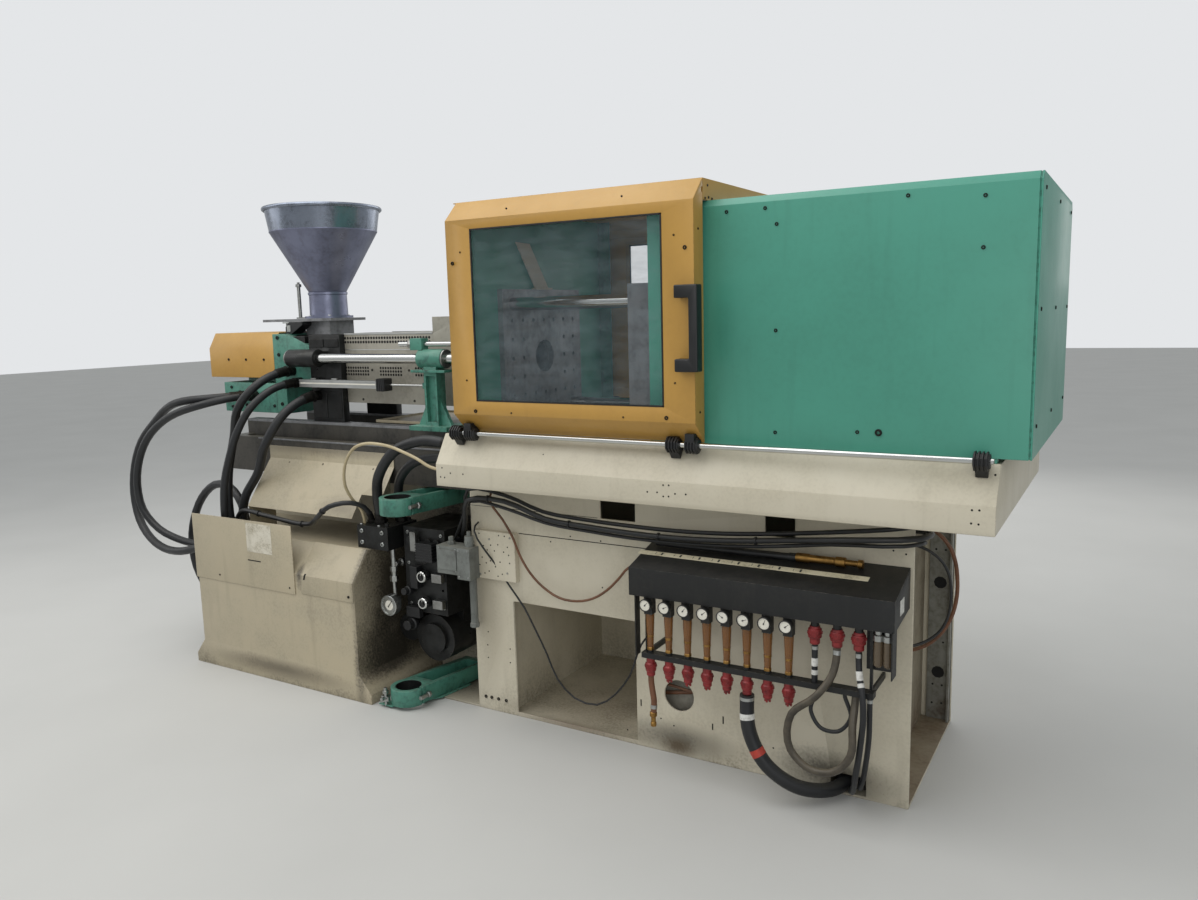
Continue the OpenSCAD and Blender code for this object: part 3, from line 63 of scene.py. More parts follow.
def addNode(tree, kind, links=None, **settings):
    node = tree.nodes.new(kind)
    for key, value in settings.items():
        setattr(node, key, value)
    for key, value in (links or {}).items():
        if isinstance(value, bpy.types.NodeSocket):
            tree.links.new(value, node.inputs[key])
        else:
            node.inputs[key].default_value = value
    return node


# camera: place in metres, angles in degrees, focal length and sensor in millimetres
camera = {"place": (2.07, -3.0325, 1.5), "turn": 30.70, "tilt": 8.43, "roll": -1.49,
          "focal": 27.895, "sensor": 36, "clip": (0.05, 100)}


def placeCamera():
    data = bpy.data.cameras.new("photograph")
    data.sensor_width, data.lens = camera["sensor"], camera["focal"]
    data.clip_start, data.clip_end = camera["clip"]
    turn, tilt, roll = (math.radians(camera[k]) for k in ("turn", "tilt", "roll"))
    ahead = Vector((-math.sin(turn) * math.cos(tilt), math.cos(turn) * math.cos(tilt),
                    -math.sin(tilt)))
    level = Vector((math.cos(turn), math.sin(turn), 0))
    upright = level.cross(ahead)
    right = level * math.cos(roll) + upright * math.sin(roll)
    top = upright * math.cos(roll) - level * math.sin(roll)
    rows = Matrix((right, top, -ahead)).transposed()
    view = bpy.data.objects.new("photograph", data)
    view.matrix_world = Matrix.Translation(camera["place"]) @ rows.to_4x4()
    bpy.context.scene.collection.objects.link(view)
    bpy.context.scene.camera = view


# studio: a lamp's place and target, its size in metres and its power in watts
studio = {"floor": "#c9c9c6", "patches": "#bdbdba", "patchScale": 1.4, "floorRough": 0.75,
          "floorHalf": 30, "backdrop": "#e4e6e8", "sky": "#f1f4f6", "room": 0.62,
          "lampTint": (1.0, 0.985, 0.96),
          "lamps": [((-1.0, -1.6, 4.6), (0.2, 0, 0.6), 5.0, 150),
                    ((-5.2, -2.2, 2.6), (-0.4, 0, 0.8), 3.0, 24),
                    ((3.6, -5.0, 2.6), (0.2, -0.3, 0.7), 3.0, 42),
                    ((0.5, 4.8, 3.4), (0, 0, 0.8), 4.0, 60)]}


def lightStudio():
    scene = bpy.context.scene
    scene.view_settings.view_transform = "Standard"
    world = bpy.data.worlds.new("studio")
    world.use_nodes = True
    tree = world.node_tree
    tree.nodes.clear()
    path = addNode(tree, "ShaderNodeLightPath").outputs
    seen = addNode(tree, "ShaderNodeMath", {
        0: path["Is Camera Ray"], 1: path["Is Transmission Ray"]}, operation="MAXIMUM").outputs[0]
    soft, plain = [addNode(tree, "ShaderNodeBackground", {
        "Color": linearColour(studio[tint]), "Strength": strength}).outputs[0]
        for tint, strength in (("sky", studio["room"]), ("backdrop", 1.0))]
    both = addNode(tree, "ShaderNodeMixShader", {0: seen, 1: soft, 2: plain})
    addNode(tree, "ShaderNodeOutputWorld", {0: both.outputs[0]})
    scene.world = world
    for i, (place, target, size, power) in enumerate(studio["lamps"]):
        data = bpy.data.lights.new(f"lamp{i}", "AREA")
        data.size, data.energy, data.color = size, power, studio["lampTint"]
        lamp = bpy.data.objects.new(f"lamp{i}", data)
        lamp.location = place
        lamp.rotation_euler = (Vector(target) - Vector(place)).to_track_quat("-Z", "Y").to_euler()
        scene.collection.objects.link(lamp)


def layFloor():
    far = studio["floorHalf"]
    mesh = bpy.data.meshes.new("floor")
    mesh.from_pydata([(-far, -far, 0), (far, -far, 0), (far, far, 0), (-far, far, 0)], [],
                     [(0, 1, 2, 3)])
    floor = bpy.data.objects.new("floor", mesh)
    bpy.context.scene.collection.objects.link(floor)
    material = bpy.data.materials.new("paleFloor")
    material.use_nodes = True
    tree = material.node_tree
    place = addNode(tree, "ShaderNodeTexCoord").outputs["Object"]
    noise = addNode(tree, "ShaderNodeTexNoise", {
        "Vector": place, "Scale": studio["patchScale"], "Detail": 4}).outputs[0]
    colour = addNode(tree, "ShaderNodeMix", {
        0: noise, 6: linearColour(studio["floor"]), 7: linearColour(studio["patches"])},
        data_type="RGBA").outputs[2]
    shader = tree.nodes["Principled BSDF"]
    tree.links.new(colour, shader.inputs["Base Color"])
    shader.inputs["Roughness"].default_value = studio["floorRough"]
    mesh.materials.append(material)


placeCamera()
lightStudio()
layFloor()
print("camera and studio stand")

# What every finish shares. A pair is the value of its noise at which a layer begins and the one
# at which it is full; the others shape the runs, the splashes and the edge of a stain.
weather = {"fade": (0.38, 0.68), "runs": (0.56, 0.78), "smear": (0.24, 0.46),
           "splashGrit": (0.35, 0.65), "splashCloud": (0.35, 0.62), "stain": (1.35, 0.55),
           "dust": (0.25, 0.95), "edge": (0.985, 0.80), "flake": (0.47, 0.60), "gloss": (0.3, 0.7),
           "runStretch": (22, 22, 2.2), "splashFall": 1.7, "splashStrength": 0.6,
           "leastGrit": 0.35, "leastCloud": 0.15, "stainCloud": 1.1, "stainGrit": 0.7,
           "bumpHeight": 0.0006}
# what a finish has where its own dictionary leaves it out
usual = {"gritMm": 14, "fade": 0.6, "runs": 0.35, "dustTint": "#b5ab97", "chipMm": 3, "metal": 0.0,
         "grainMm": 3, "grainDepth": 0.25}


# runs down the walls, and grime that is smeared over them
def soilLayers(tree, look, place, cloud, grit):
    stretch = addNode(tree, "ShaderNodeMapping", {0: place, 3: weather["runStretch"]}).outputs[0]
    runs = addNode(tree, "ShaderNodeTexNoise", {
        "Vector": stretch, "Scale": 1.0, "Detail": 4, "Roughness": 0.55}).outputs[0]
    smear = addNode(tree, "ShaderNodeMath", {0: cloud, 1: grit}, operation="MULTIPLY").outputs[0]
    return [(addNode(tree, "ShaderNodeMapRange", {
        "Value": noise, 1: weather[kind][0], 2: weather[kind][1], 4: look[kind]}).outputs[0],
        look["soil"]) for kind, noise in (("runs", runs), ("smear", smear))]


# splashes near the floor, thinning out upwards
def splashLayer(tree, look, place, cloud, grit):
    height = addNode(tree, "ShaderNodeSeparateXYZ", {0: place}).outputs[2]
    low = addNode(tree, "ShaderNodeMapRange", {
        "Value": height, 1: look["splashMm"] / 1000, 2: 0.0}).outputs[0]
    amount = addNode(tree, "ShaderNodeMath", {
        0: low, 1: weather["splashFall"]}, operation="POWER").outputs[0]
    for noise, kind, least in ((grit, "splashGrit", weather["leastGrit"]),
                               (cloud, "splashCloud", weather["leastCloud"])):
        patch = addNode(tree, "ShaderNodeMapRange", {
            "Value": noise, 1: weather[kind][0], 2: weather[kind][1], 3: least}).outputs[0]
        amount = addNode(tree, "ShaderNodeMath", {
            0: amount, 1: patch}, operation="MULTIPLY").outputs[0]
    amount = addNode(tree, "ShaderNodeMath", {
        0: amount, 1: weather["splashStrength"]}, operation="MULTIPLY").outputs[0]
    return amount, look["splash"]


# a ragged stain, soft at its edge
def stainLayer(tree, stain, place, cloud, grit):
    centre, radius, strength, tint = stain
    apart = addNode(tree, "ShaderNodeVectorMath", {
        0: place, 1: [v / 1000 for v in centre]}, operation="SUBTRACT").outputs[0]
    apart = addNode(tree, "ShaderNodeVectorMath", {
        0: apart, 1: [1000 / v for v in radius]}, operation="MULTIPLY").outputs[0]
    apart = addNode(tree, "ShaderNodeVectorMath", {0: apart}, operation="LENGTH").outputs["Value"]
    ragged = addNode(tree, "ShaderNodeMath", {
        0: cloud, 1: weather["stainCloud"], 2: -weather["stainCloud"] / 2},
        operation="MULTIPLY_ADD").outputs[0]
    ragged = addNode(tree, "ShaderNodeMath", {0: grit, 1: weather["stainGrit"], 2: ragged},
                     operation="MULTIPLY_ADD").outputs[0]
    apart = addNode(tree, "ShaderNodeMath", {0: apart, 1: ragged}).outputs[0]
    return addNode(tree, "ShaderNodeMapRange", {
        "Value": apart, 1: weather["stain"][0], 2: weather["stain"][1],
        4: strength}).outputs[0], tint


# dust on what faces up
def dustLayer(tree, look, normal, grit):
    upward = addNode(tree, "ShaderNodeSeparateXYZ", {0: normal}).outputs[2]
    lying = addNode(tree, "ShaderNodeMapRange", {
        "Value": upward, 1: weather["dust"][0], 2: weather["dust"][1],
        4: look["dust"]}).outputs[0]
    lying = addNode(tree, "ShaderNodeMath", {0: lying, 1: grit}, operation="MULTIPLY").outputs[0]
    return lying, look["dustTint"]


# paint flaked off the edges
def chipLayer(tree, look, normal, grit):
    soft = addNode(tree, "ShaderNodeBevel", {"Radius": look["chipMm"] / 1000}, samples=3)
    edge = addNode(tree, "ShaderNodeVectorMath", {
        0: soft.outputs[0], 1: normal}, operation="DOT_PRODUCT").outputs["Value"]
    amounts = [addNode(tree, "ShaderNodeMapRange", {
        "Value": value, 1: weather[kind][0], 2: weather[kind][1]}).outputs[0]
        for kind, value in (("edge", edge), ("flake", grit))]
    worn = addNode(tree, "ShaderNodeMath", {
        0: amounts[0], 1: amounts[1]}, operation="MULTIPLY").outputs[0]
    return worn, look["chip"]


# One recipe for painted, machined and moulded surfaces. The settings hold what a user would
# change: base and faded tint, soil and its strength, dust, splashes, the tint of bare edges, the
# range of the gloss, and the grain of the surface.
def makeFinish(name, settings, stains=()):
    look = {**usual, **settings}
    material = bpy.data.materials.new(name)
    material.use_nodes = True
    tree = material.node_tree
    shader = tree.nodes["Principled BSDF"]
    place = addNode(tree, "ShaderNodeTexCoord").outputs["Object"]
    normal = addNode(tree, "ShaderNodeNewGeometry").outputs["Normal"]
    cloud = addNode(tree, "ShaderNodeTexNoise", {
        "Vector": place, "Scale": 1000 / look["cloudMm"], "Detail": 6,
        "Roughness": 0.62}).outputs[0]
    grit = addNode(tree, "ShaderNodeTexNoise", {
        "Vector": place, "Scale": 1000 / look["gritMm"], "Detail": 3}).outputs[0]
    layers = [(addNode(tree, "ShaderNodeMapRange", {
        "Value": cloud, 1: weather["fade"][0], 2: weather["fade"][1],
        4: look["fade"]}).outputs[0], look["faded"])]
    if "soil" in look:
        layers += soilLayers(tree, look, place, cloud, grit)
    if "splash" in look:
        layers.append(splashLayer(tree, look, place, cloud, grit))
    layers += [stainLayer(tree, stain, place, cloud, grit) for stain in stains]
    if "dust" in look:
        layers.append(dustLayer(tree, look, normal, grit))
    if "chip" in look:
        layers.append(chipLayer(tree, look, normal, grit))
    colour = linearColour(look["base"])
    for amount, tint in layers:
        colour = addNode(tree, "ShaderNodeMix", {
            0: amount, 6: colour, 7: linearColour(tint)}, data_type="RGBA").outputs[2]
    tree.links.new(colour, shader.inputs["Base Color"])
    gloss = addNode(tree, "ShaderNodeMapRange", {
        "Value": cloud, 1: weather["gloss"][0], 2: weather["gloss"][1],
        3: look["rough"][0], 4: look["rough"][1]}).outputs[0]
    tree.links.new(gloss, shader.inputs["Roughness"])
    shader.inputs["Metallic"].default_value = look["metal"]
    if "brushed" in look:
        place = addNode(tree, "ShaderNodeMapping", {0: place, 3: look["brushed"]}).outputs[0]
    grain = addNode(tree, "ShaderNodeTexNoise", {
        "Vector": place, "Scale": 1000 / look["grainMm"], "Detail": 2}).outputs[0]
    bump = addNode(tree, "ShaderNodeBump", {
        "Height": grain, "Strength": look["grainDepth"],
        "Distance": weather["bumpHeight"]}).outputs[0]
    tree.links.new(bump, shader.inputs["Normal"])
    return material


# near-black oil; the same tint also stands as painted shade in the valve bay and on the housing's
# flank
oilAndShade = "#1c1915"
looks = {
    # powder coat on sheet steel, yellowed and handled: satin, with dirty runs and bare edges
    "creamPowderCoat": {"base": "#cbc4b1", "faded": "#bbb39d", "soil": "#7d7463", "runs": 0.16,
                        "smear": 0.16, "splashMm": 190, "splash": "#3a3022", "chip": "#54493c",
                        "dust": 0.2, "rough": (0.38, 0.55), "grainMm": 2.2, "cloudMm": 330,
                        "gritMm": 9},
    # the same coat round the pump, where oil mist has settled in it
    "oiledCreamCoat": {"base": "#b1a68d", "faded": "#a59d88", "soil": "#5f5748", "runs": 0.22,
                       "smear": 0.22, "splashMm": 120, "splash": "#241f18", "gritMm": 9,
                       "chip": "#4c4236", "dust": 0.25, "rough": (0.32, 0.55), "grainMm": 2.2,
                       "cloudMm": 240},
    # two-part enamel on flat covers: even, half gloss, faint wiping marks
    "tealEnamel": {"base": "#4a9783", "faded": "#438b78", "soil": "#2f6356", "runs": 0.16,
                   "smear": 0.10, "chip": "#26463e", "dust": 0.2, "dustTint": "#8fb5a6",
                   "rough": (0.33, 0.44), "grainMm": 1.6, "grainDepth": 0.15, "cloudMm": 420},
    # brushed-on enamel over castings: thick in the corners, oily and rubbed
    "castTealEnamel": {"base": "#4a8574", "faded": "#396f62", "soil": "#1a2e29", "runs": 0.5,
                       "smear": 0.6, "chip": "#39342c", "chipMm": 4, "dust": 0.15,
                       "rough": (0.3, 0.5), "grainMm": 7, "grainDepth": 0.5, "cloudMm": 90},
    # the same enamel in ochre, on the hood, the doors and the motor cover
    "yellowEnamel": {"base": "#b98f45", "faded": "#ab823c", "soil": "#7e6130", "runs": 0.16,
                     "smear": 0.10, "chip": "#6b5226", "dust": 0.22, "dustTint": "#d9bf8a",
                     "rough": (0.34, 0.46), "grainMm": 1.6, "grainDepth": 0.15, "cloudMm": 350},
    # wrinkle paint on the water battery: black, dull, grey where it is rubbed
    "blackWrinkleCoat": {"base": "#0b0d0e", "faded": "#121415", "soil": "#34312b", "runs": 0.2,
                         "smear": 0.2, "chip": "#66635b", "chipMm": 2, "dust": 0.08,
                         "dustTint": "#6c675c", "rough": (0.42, 0.6), "grainMm": 1.5,
                         "grainDepth": 0.45, "cloudMm": 120},
    # sand-cast iron under old oil: near black, wet in places
    "oiledIron": {"base": "#2b2c2c", "faded": "#1a1a1a", "soil": oilAndShade, "runs": 0.6, "smear": 0.6,
                  "chip": "#6d6a64", "chipMm": 2, "dust": 0.2, "dustTint": "#55503f",
                  "metal": 0.55, "rough": (0.25, 0.6), "grainMm": 4, "grainDepth": 0.5,
                  "cloudMm": 60},
    # the bed's flanks: ground once, now brown with oil and settled dust
    "oilyBed": {"base": "#423f39", "faded": "#2b2a27", "soil": "#100f0d", "runs": 0.6,
                "smear": 0.6, "chip": "#7d786a", "dust": 0.15, "rough": (0.28, 0.6), "grainMm": 5,
                "grainDepth": 0.3, "cloudMm": 110},
    # phosphated platens with ground faces: dark grey, matt, stained
    "platenSteel": {"base": "#87888a", "faded": "#66676a", "soil": "#2c2a28", "runs": 0.4,
                    "smear": 0.4, "chip": "#a6a6a4", "chipMm": 2, "metal": 0.4,
                    "rough": (0.34, 0.56), "grainMm": 2, "grainDepth": 0.2, "cloudMm": 70},
    # ground and hard-chromed shafts: clear, with fine turning marks and oil film
    "hardChrome": {"base": "#cbccca", "faded": "#b7b7b2", "metal": 1.0, "rough": (0.10, 0.2),
                   "brushed": (60, 6, 6), "grainMm": 30, "grainDepth": 0.05, "cloudMm": 160,
                   "fade": 0.5},
    # plain turned steel of nuts, plates and fittings
    "turnedSteel": {"base": "#9fa09e", "faded": "#7f7e7a", "soil": "#4b463d", "runs": 0.3,
                    "smear": 0.35, "metal": 1.0, "rough": (0.25, 0.45), "grainMm": 2,
                    "grainDepth": 0.15, "cloudMm": 45},
    # zinc plate on screws and pipe: blueish, a little dull
    "zincPlate": {"base": "#b4b7b6", "faded": "#94938c", "metal": 1.0, "rough": (0.28, 0.42),
                  "grainMm": 2, "cloudMm": 30},
    # black oxide on socket screws and crimped hose ends
    "blackOxide": {"base": "#1f1e1d", "faded": "#35322d", "metal": 0.7, "rough": (0.35, 0.55),
                   "grainMm": 2, "cloudMm": 14},
    # extruded aluminium, clear anodised
    "anodisedAluminium": {"base": "#c3c4c2", "faded": "#a9a9a4", "metal": 1.0,
                          "rough": (0.3, 0.42), "brushed": (1, 30, 30), "grainMm": 40,
                          "grainDepth": 0.1, "cloudMm": 120},
    # guard sheet over the heater bands: pale enamel, dusty, handled
    "guardEnamel": {"base": "#9a968a", "faded": "#827e73", "soil": "#4c4740", "runs": 0.3,
                    "smear": 0.35, "chip": "#6c665a", "dust": 0.35, "rough": (0.35, 0.5),
                    "grainMm": 2, "cloudMm": 120},
    # moulded nylon and rubber: dull black, a little dusty
    "mouldedBlack": {"base": "#121315", "faded": "#1b1c1e", "dust": 0.14, "dustTint": "#5b574d",
                     "rough": (0.38, 0.55), "grainMm": 1.2, "grainDepth": 0.15, "cloudMm": 60},
    # die-cast aluminium of valves and glands, left bare
    "greyCasting": {"base": "#747874", "faded": "#5c5f5c", "soil": "#3c3a35", "runs": 0.35,
                    "smear": 0.4, "chip": "#4a4843", "chipMm": 2, "dust": 0.3, "rough": (0.4, 0.6),
                    "grainMm": 3, "grainDepth": 0.3, "cloudMm": 50},
    # red lacquer on the quick couplings, darkened by hands
    "redCoupling": {"base": "#8c2b2c", "faded": "#641d20", "soil": "#2c1413", "smear": 0.5,
                    "chip": "#4f1c1a", "chipMm": 1.5, "metal": 0.2, "rough": (0.3, 0.5),
                    "grainMm": 2, "cloudMm": 25},
    # tarnished brass of nuts and hose fittings
    "brass": {"base": "#a9834a", "faded": "#7a5c33", "soil": "#3c2c19", "smear": 0.5, "metal": 1.0,
              "rough": (0.28, 0.5), "grainMm": 2, "cloudMm": 30},
    # white enamel of dials and scales
    "dialEnamel": {"base": "#e4e1d6", "faded": "#d6d2c2", "rough": (0.25, 0.35), "cloudMm": 40},
    # black print on them, and the pointers
    "dialInk": {"base": "#1a1a1a", "faded": "#262626", "rough": (0.4, 0.5), "cloudMm": 40},
    # remains of glued paper, browned and smeared
    "oldPaper": {"base": "#cfcabb", "faded": "#b3ab97", "soil": "#7d745f", "runs": 0.3,
                 "smear": 0.75, "rough": (0.7, 0.85), "cloudMm": 35, "gritMm": 7},
    # the steel wall inside the open clamp end, bare primer gone brown
    "brownPrimer": {"base": "#8f8673", "faded": "#6d6350", "soil": "#3b3226", "runs": 0.45,
                    "smear": 0.4, "splashMm": 250, "splash": "#54301b", "dust": 0.5,
                    "dustTint": "#8a7a60", "rough": (0.5, 0.7), "cloudMm": 150},
    # hose rubber: wiped black where it is handled, grey bloom elsewhere
    "hoseRubber": {"base": "#15171a", "faded": "#222427", "soil": "#0b0b0c", "smear": 0.5,
                   "dust": 0.22, "dustTint": "#5d5a52", "rough": (0.32, 0.6), "grainMm": 2.5,
                   "grainDepth": 0.35, "cloudMm": 90},
    # plastic jackets of cables and of the spare hose
    "cableJacket": {"base": "#141517", "faded": "#222426", "dust": 0.25, "dustTint": "#55524a",
                    "rough": (0.3, 0.45), "cloudMm": 80},
    # clear air tube, gone yellow
    "airTube": {"base": "#b7a988", "faded": "#9c8d6a", "dust": 0.2, "rough": (0.3, 0.42),
                "cloudMm": 70},
    # fabric hose, brown with age
    "brownHose": {"base": "#70482f", "faded": "#56351f", "soil": "#2b1a10", "smear": 0.4,
                  "dust": 0.3, "rough": (0.35, 0.55), "cloudMm": 60},
    # spun hopper sheet, its bluish tint a painted reflection: a band under the rim, the cone
    # browned by dust of the granules
    "hopperBand": {"base": "#8f97a6", "faded": "#747b88", "soil": "#3a3733", "runs": 0.45,
                   "smear": 0.5, "metal": 0.85, "rough": (0.18, 0.34), "brushed": (3, 3, 60),
                   "grainMm": 30, "grainDepth": 0.1, "cloudMm": 80, "chip": "#b9b6ae"},
    "hopperCone": {"base": "#7e8298", "faded": "#686b80", "soil": "#3b3434", "runs": 0.35,
                   "smear": 0.25, "metal": 0.7, "rough": (0.26, 0.45), "brushed": (3, 3, 60),
                   "grainMm": 30, "grainDepth": 0.12, "cloudMm": 90, "dust": 0.3,
                   "dustTint": "#8a7c66"},
    # hot-dip galvanised post: grey spangle, brown towards the floor
    "galvanised": {"base": "#8c8d87", "faded": "#6f6c62", "soil": "#4b4132", "runs": 0.5,
                   "smear": 0.5, "splashMm": 240, "splash": "#4e3322", "metal": 0.5,
                   "rough": (0.4, 0.6), "grainMm": 5, "grainDepth": 0.2, "cloudMm": 50},
    # white plastic strip, gone yellow
    "oldPlastic": {"base": "#d8d0b4", "faded": "#c6bc9c", "soil": "#6f6650", "smear": 0.6,
                   "rough": (0.4, 0.55), "cloudMm": 60, "gritMm": 8},
    # adhesive tape round the water hoses
    "whiteTape": {"base": "#d9d9d4", "faded": "#b7b6af", "soil": "#5f5b52", "smear": 0.5,
                  "rough": (0.4, 0.5), "cloudMm": 20},
    "redTape": {"base": "#b23a2c", "faded": "#8f3025", "soil": "#3b1a14", "smear": 0.5,
                "rough": (0.4, 0.5), "cloudMm": 20},
    # gaps, punched holes and slots, which only show the dark behind the sheet
    "deepShadow": {"base": "#0b0b0b", "faded": "#141311", "rough": (0.8, 0.9), "cloudMm": 60},
    # water hose with dried silt on it
    "siltedHose": {"base": "#4d463a", "faded": "#2e2a24", "soil": "#171411", "smear": 0.45,
                   "dust": 0.45, "dustTint": "#8d836d", "rough": (0.35, 0.55), "cloudMm": 45},
}
# stains at fixed places of a finish: centre, radii, strength and tint
soiling = {
    "creamPowderCoat": [
        ((350, -344, 40), (330, 60, 60), 0.75, "#4a2f1c"),  # rust along the service sill
        ((-30, -344, 420), (90, 60, 330), 0.45, "#7b715e"),  # grime beside the valve bay
        ((1300, -344, 60), (210, 60, 80), 0.8, "#2d2820"),  # foot of the wall, at its end
        ((760, -344, 60), (230, 60, 70), 0.7, "#2f2a22"),  # foot of the wall, in the middle
        ((-330, -100, 500), (330, 60, 560), 0.96, oilAndShade),  # painted shade at the back of the valve bay
        ((-330, -220, 4), (330, 200, 30), 0.93, oilAndShade),  # painted shade on the bottom plate of the bay
        ((760, -334, 30), (80, 130, 40), 0.8, "#4a3a22"),  # behind the foot of the wall
        ((350, -100, 8), (300, 300, 12), 0.22, "#6d4c2c"),  # floor of the service room
        ((800, -500, 905), (1300, 90, 18), 0.35, "#8e8571")],  # folded lip of the apron
    "tealEnamel": [
        ((9, 0, 1338), (40, 78, 78), 0.97, "#0c0e0e")],  # painted shade on the mould wall, seen through the nozzle's bore
    "oiledCreamCoat": [
        ((-535, -330, 140), (40, 330, 300), 0.9, oilAndShade),  # painted shade on the housing's flank towards the bay, here and on the next line
        ((-535, -300, 420), (40, 380, 520), 0.9, oilAndShade),
        ((-842, -528, 520), (26, 40, 120), 0.92, "#14110d"),  # oil from the panel's edge
        ((-1000, -528, 60), (420, 60, 46), 0.6, "#3a3226"),  # foot of the housing
        ((-900, -290, 960), (700, 60, 40), 0.55, "#39342c"),  # painted shade on the deck under the bed
        ((-700, -400, 740), (170, 80, 60), 0.5, "#4b4437")],  # deck above the oil stain
}


# film on clear plastics: where the strokes of wiping lie, and the noise that sets haze and dust
film = {"shift": (0, 0.5, 0), "stretch": (3, 3, 9), "haze": (0.42, 0.75), "dust": (0.38, 0.72)}


# One recipe for clear plastics and glass: tint, haze, and a film of dust and wiping marks.
def makeClear(name, look):
    material = bpy.data.materials.new(name)
    material.use_nodes = True
    tree = material.node_tree
    shader = tree.nodes["Principled BSDF"]
    place = addNode(tree, "ShaderNodeTexCoord").outputs["Object"]
    wiped = addNode(tree, "ShaderNodeMapping", {
        0: place, 2: film["shift"], 3: film["stretch"]}).outputs[0]
    cloud = addNode(tree, "ShaderNodeTexNoise", {
        "Vector": wiped, "Scale": 1000 / look["cloudMm"], "Detail": 7, "Roughness": 0.7}).outputs[0]
    for kind, setting, target in (("haze", "rough", "Roughness"), ("dust", "alpha", "Alpha")):
        amount = addNode(tree, "ShaderNodeMapRange", {
            "Value": cloud, 1: film[kind][0], 2: film[kind][1],
            3: look[setting][0], 4: look[setting][1]}).outputs[0]
        tree.links.new(amount, shader.inputs[target])
    colour = addNode(tree, "ShaderNodeMix", {
        0: cloud, 6: linearColour(look["base"]), 7: linearColour(look["faded"])},
        data_type="RGBA").outputs[2]
    tree.links.new(colour, shader.inputs["Base Color"])
    shader.inputs["Transmission Weight"].default_value = look["clear"]
    shader.inputs["IOR"].default_value = look["ior"]
    shader.inputs["Coat Weight"].default_value = look.get("coat", 0.0)
    return material


clearLooks = {
    # tinted acrylic guard panes, wiped with an oily rag; the pale bluish film on them is partly
    # smudge and partly painted reflection
    "tintedAcrylic": {"base": "#5d7480", "faded": "#8fa0a8", "rough": (0.05, 0.15), "clear": 0.0,
                      "ior": 1.49, "coat": 1.0, "alpha": (0.06, 0.15), "cloudMm": 420},
    # flow tubes: amber plastic with rust settled inside
    "amberGlass": {"base": "#a8733c", "faded": "#6b4424", "rough": (0.08, 0.3), "clear": 0.45,
                   "ior": 1.5, "alpha": (1.0, 1.0), "cloudMm": 24},
    # filter bowls, gone brown
    "smokedBowl": {"base": "#8b7a63", "faded": "#5e5040", "rough": (0.1, 0.3), "clear": 0.45,
                   "ior": 1.5, "alpha": (1.0, 1.0), "cloudMm": 30}}
clear = {name: makeClear(name, look) for name, look in clearLooks.items()}
finish = {name: makeFinish(name, look, soiling.get(name, ())) for name, look in looks.items()}
print(len(finish), "finishes mixed")


# Shapes are built in millimetres and brought to metres when a piece is finished.
up, down, out, inwards, along = (0, 0, 1), (0, 0, -1), (0, -1, 0), (0, 1, 0), (1, 0, 0)
blockFaces = ((0, 1, 3, 2), (4, 6, 7, 5), (0, 4, 5, 1), (2, 3, 7, 6), (0, 2, 6, 4), (1, 5, 7, 3))


def addBlock(bm, lo, hi):
    corners = [bm.verts.new((x, y, z)) for x in (lo[0], hi[0]) for y in (lo[1], hi[1])
               for z in (lo[2], hi[2])]
    for face in blockFaces:
        bm.faces.new([corners[i] for i in face])


def addRing(bm, centre, side, other, radius, sides, phase=0.0):
    return [bm.verts.new(centre + (side * math.cos(a) + other * math.sin(a)) * radius)
            for a in (phase + 2 * math.pi * k / sides for k in range(sides))]


def joinRings(bm, rings):
    for low, high in zip(rings, rings[1:]):
        for k in range(len(low)):
            j = (k + 1) % len(low)
            bm.faces.new((low[k], low[j], high[j], high[k]))


def addPrism(bm, axis, lo, hi, outline):
    rings = []
    for at in (lo, hi):
        points = [list(pair) for pair in outline]
        for point in points:
            point.insert(axis, at)
        rings.append([bm.verts.new(point) for point in points])
    joinRings(bm, rings)
    bm.faces.new(rings[0])
    bm.faces.new(rings[1])


# a solid turned on an axis: its profile is pairs of the way along the axis and the radius
def addTurned(bm, start, axis, profile, sides=32, phase=0.0):
    axis = Vector(axis).normalized()
    side = axis.orthogonal().normalized()
    if abs(axis.z) < 0.9:
        side = Vector(up).cross(axis).normalized()
    rings = [addRing(bm, Vector(start) + axis * at, side, axis.cross(side), radius, sides, phase)
             for at, radius in profile]
    joinRings(bm, rings)
    bm.faces.new(rings[0])
    bm.faces.new(rings[-1])


# a round tube along a line; square ends stand at right angles to their wall
def addTube(bm, line, radius, sides, square=False):
    side, rings, last = None, [], len(line) - 1
    for i, point in enumerate(line):
        ahead = (line[min(i + 1, last)] - line[max(i - 1, 0)]).normalized()
        if square and i in (0, last):
            ahead = squareTo(ahead)
        side = ahead.orthogonal() if side is None else side - ahead * side.dot(ahead)
        side.normalize()
        rings.append(addRing(bm, point, side, ahead.cross(side), radius, sides))
    joinRings(bm, rings)
    bm.faces.new(rings[0])
    bm.faces.new(rings[-1])


def squareTo(v):
    axis = max(range(3), key=lambda k: abs(v[k]))
    return Vector([math.copysign(1, v[k]) if k == axis else 0 for k in range(3)])


# a copy of one of the frame's solids, cleaned so that its edges can be softened
def copyNode(node):
    bm = bmesh.new()
    bm.from_mesh(cadNodes[node].data)
    bmesh.ops.remove_doubles(bm, verts=bm.verts, dist=0.00002)
    bmesh.ops.dissolve_limit(bm, angle_limit=math.radians(0.5), verts=bm.verts, edges=bm.edges)
    bmesh.ops.scale(bm, vec=(1000, 1000, 1000), verts=bm.verts)
    return bm


def finishPiece(name, bm, body, material, nodes=(), soft=0.0, sharp=32, turn=True):
    if turn:
        bmesh.ops.recalc_face_normals(bm, faces=bm.faces)
    bmesh.ops.scale(bm, vec=(0.001, 0.001, 0.001), verts=bm.verts)
    mesh = bpy.data.meshes.new(name)
    bm.to_mesh(mesh)
    bm.free()
    return dressMesh(name, mesh, body, material, nodes, soft, sharp)


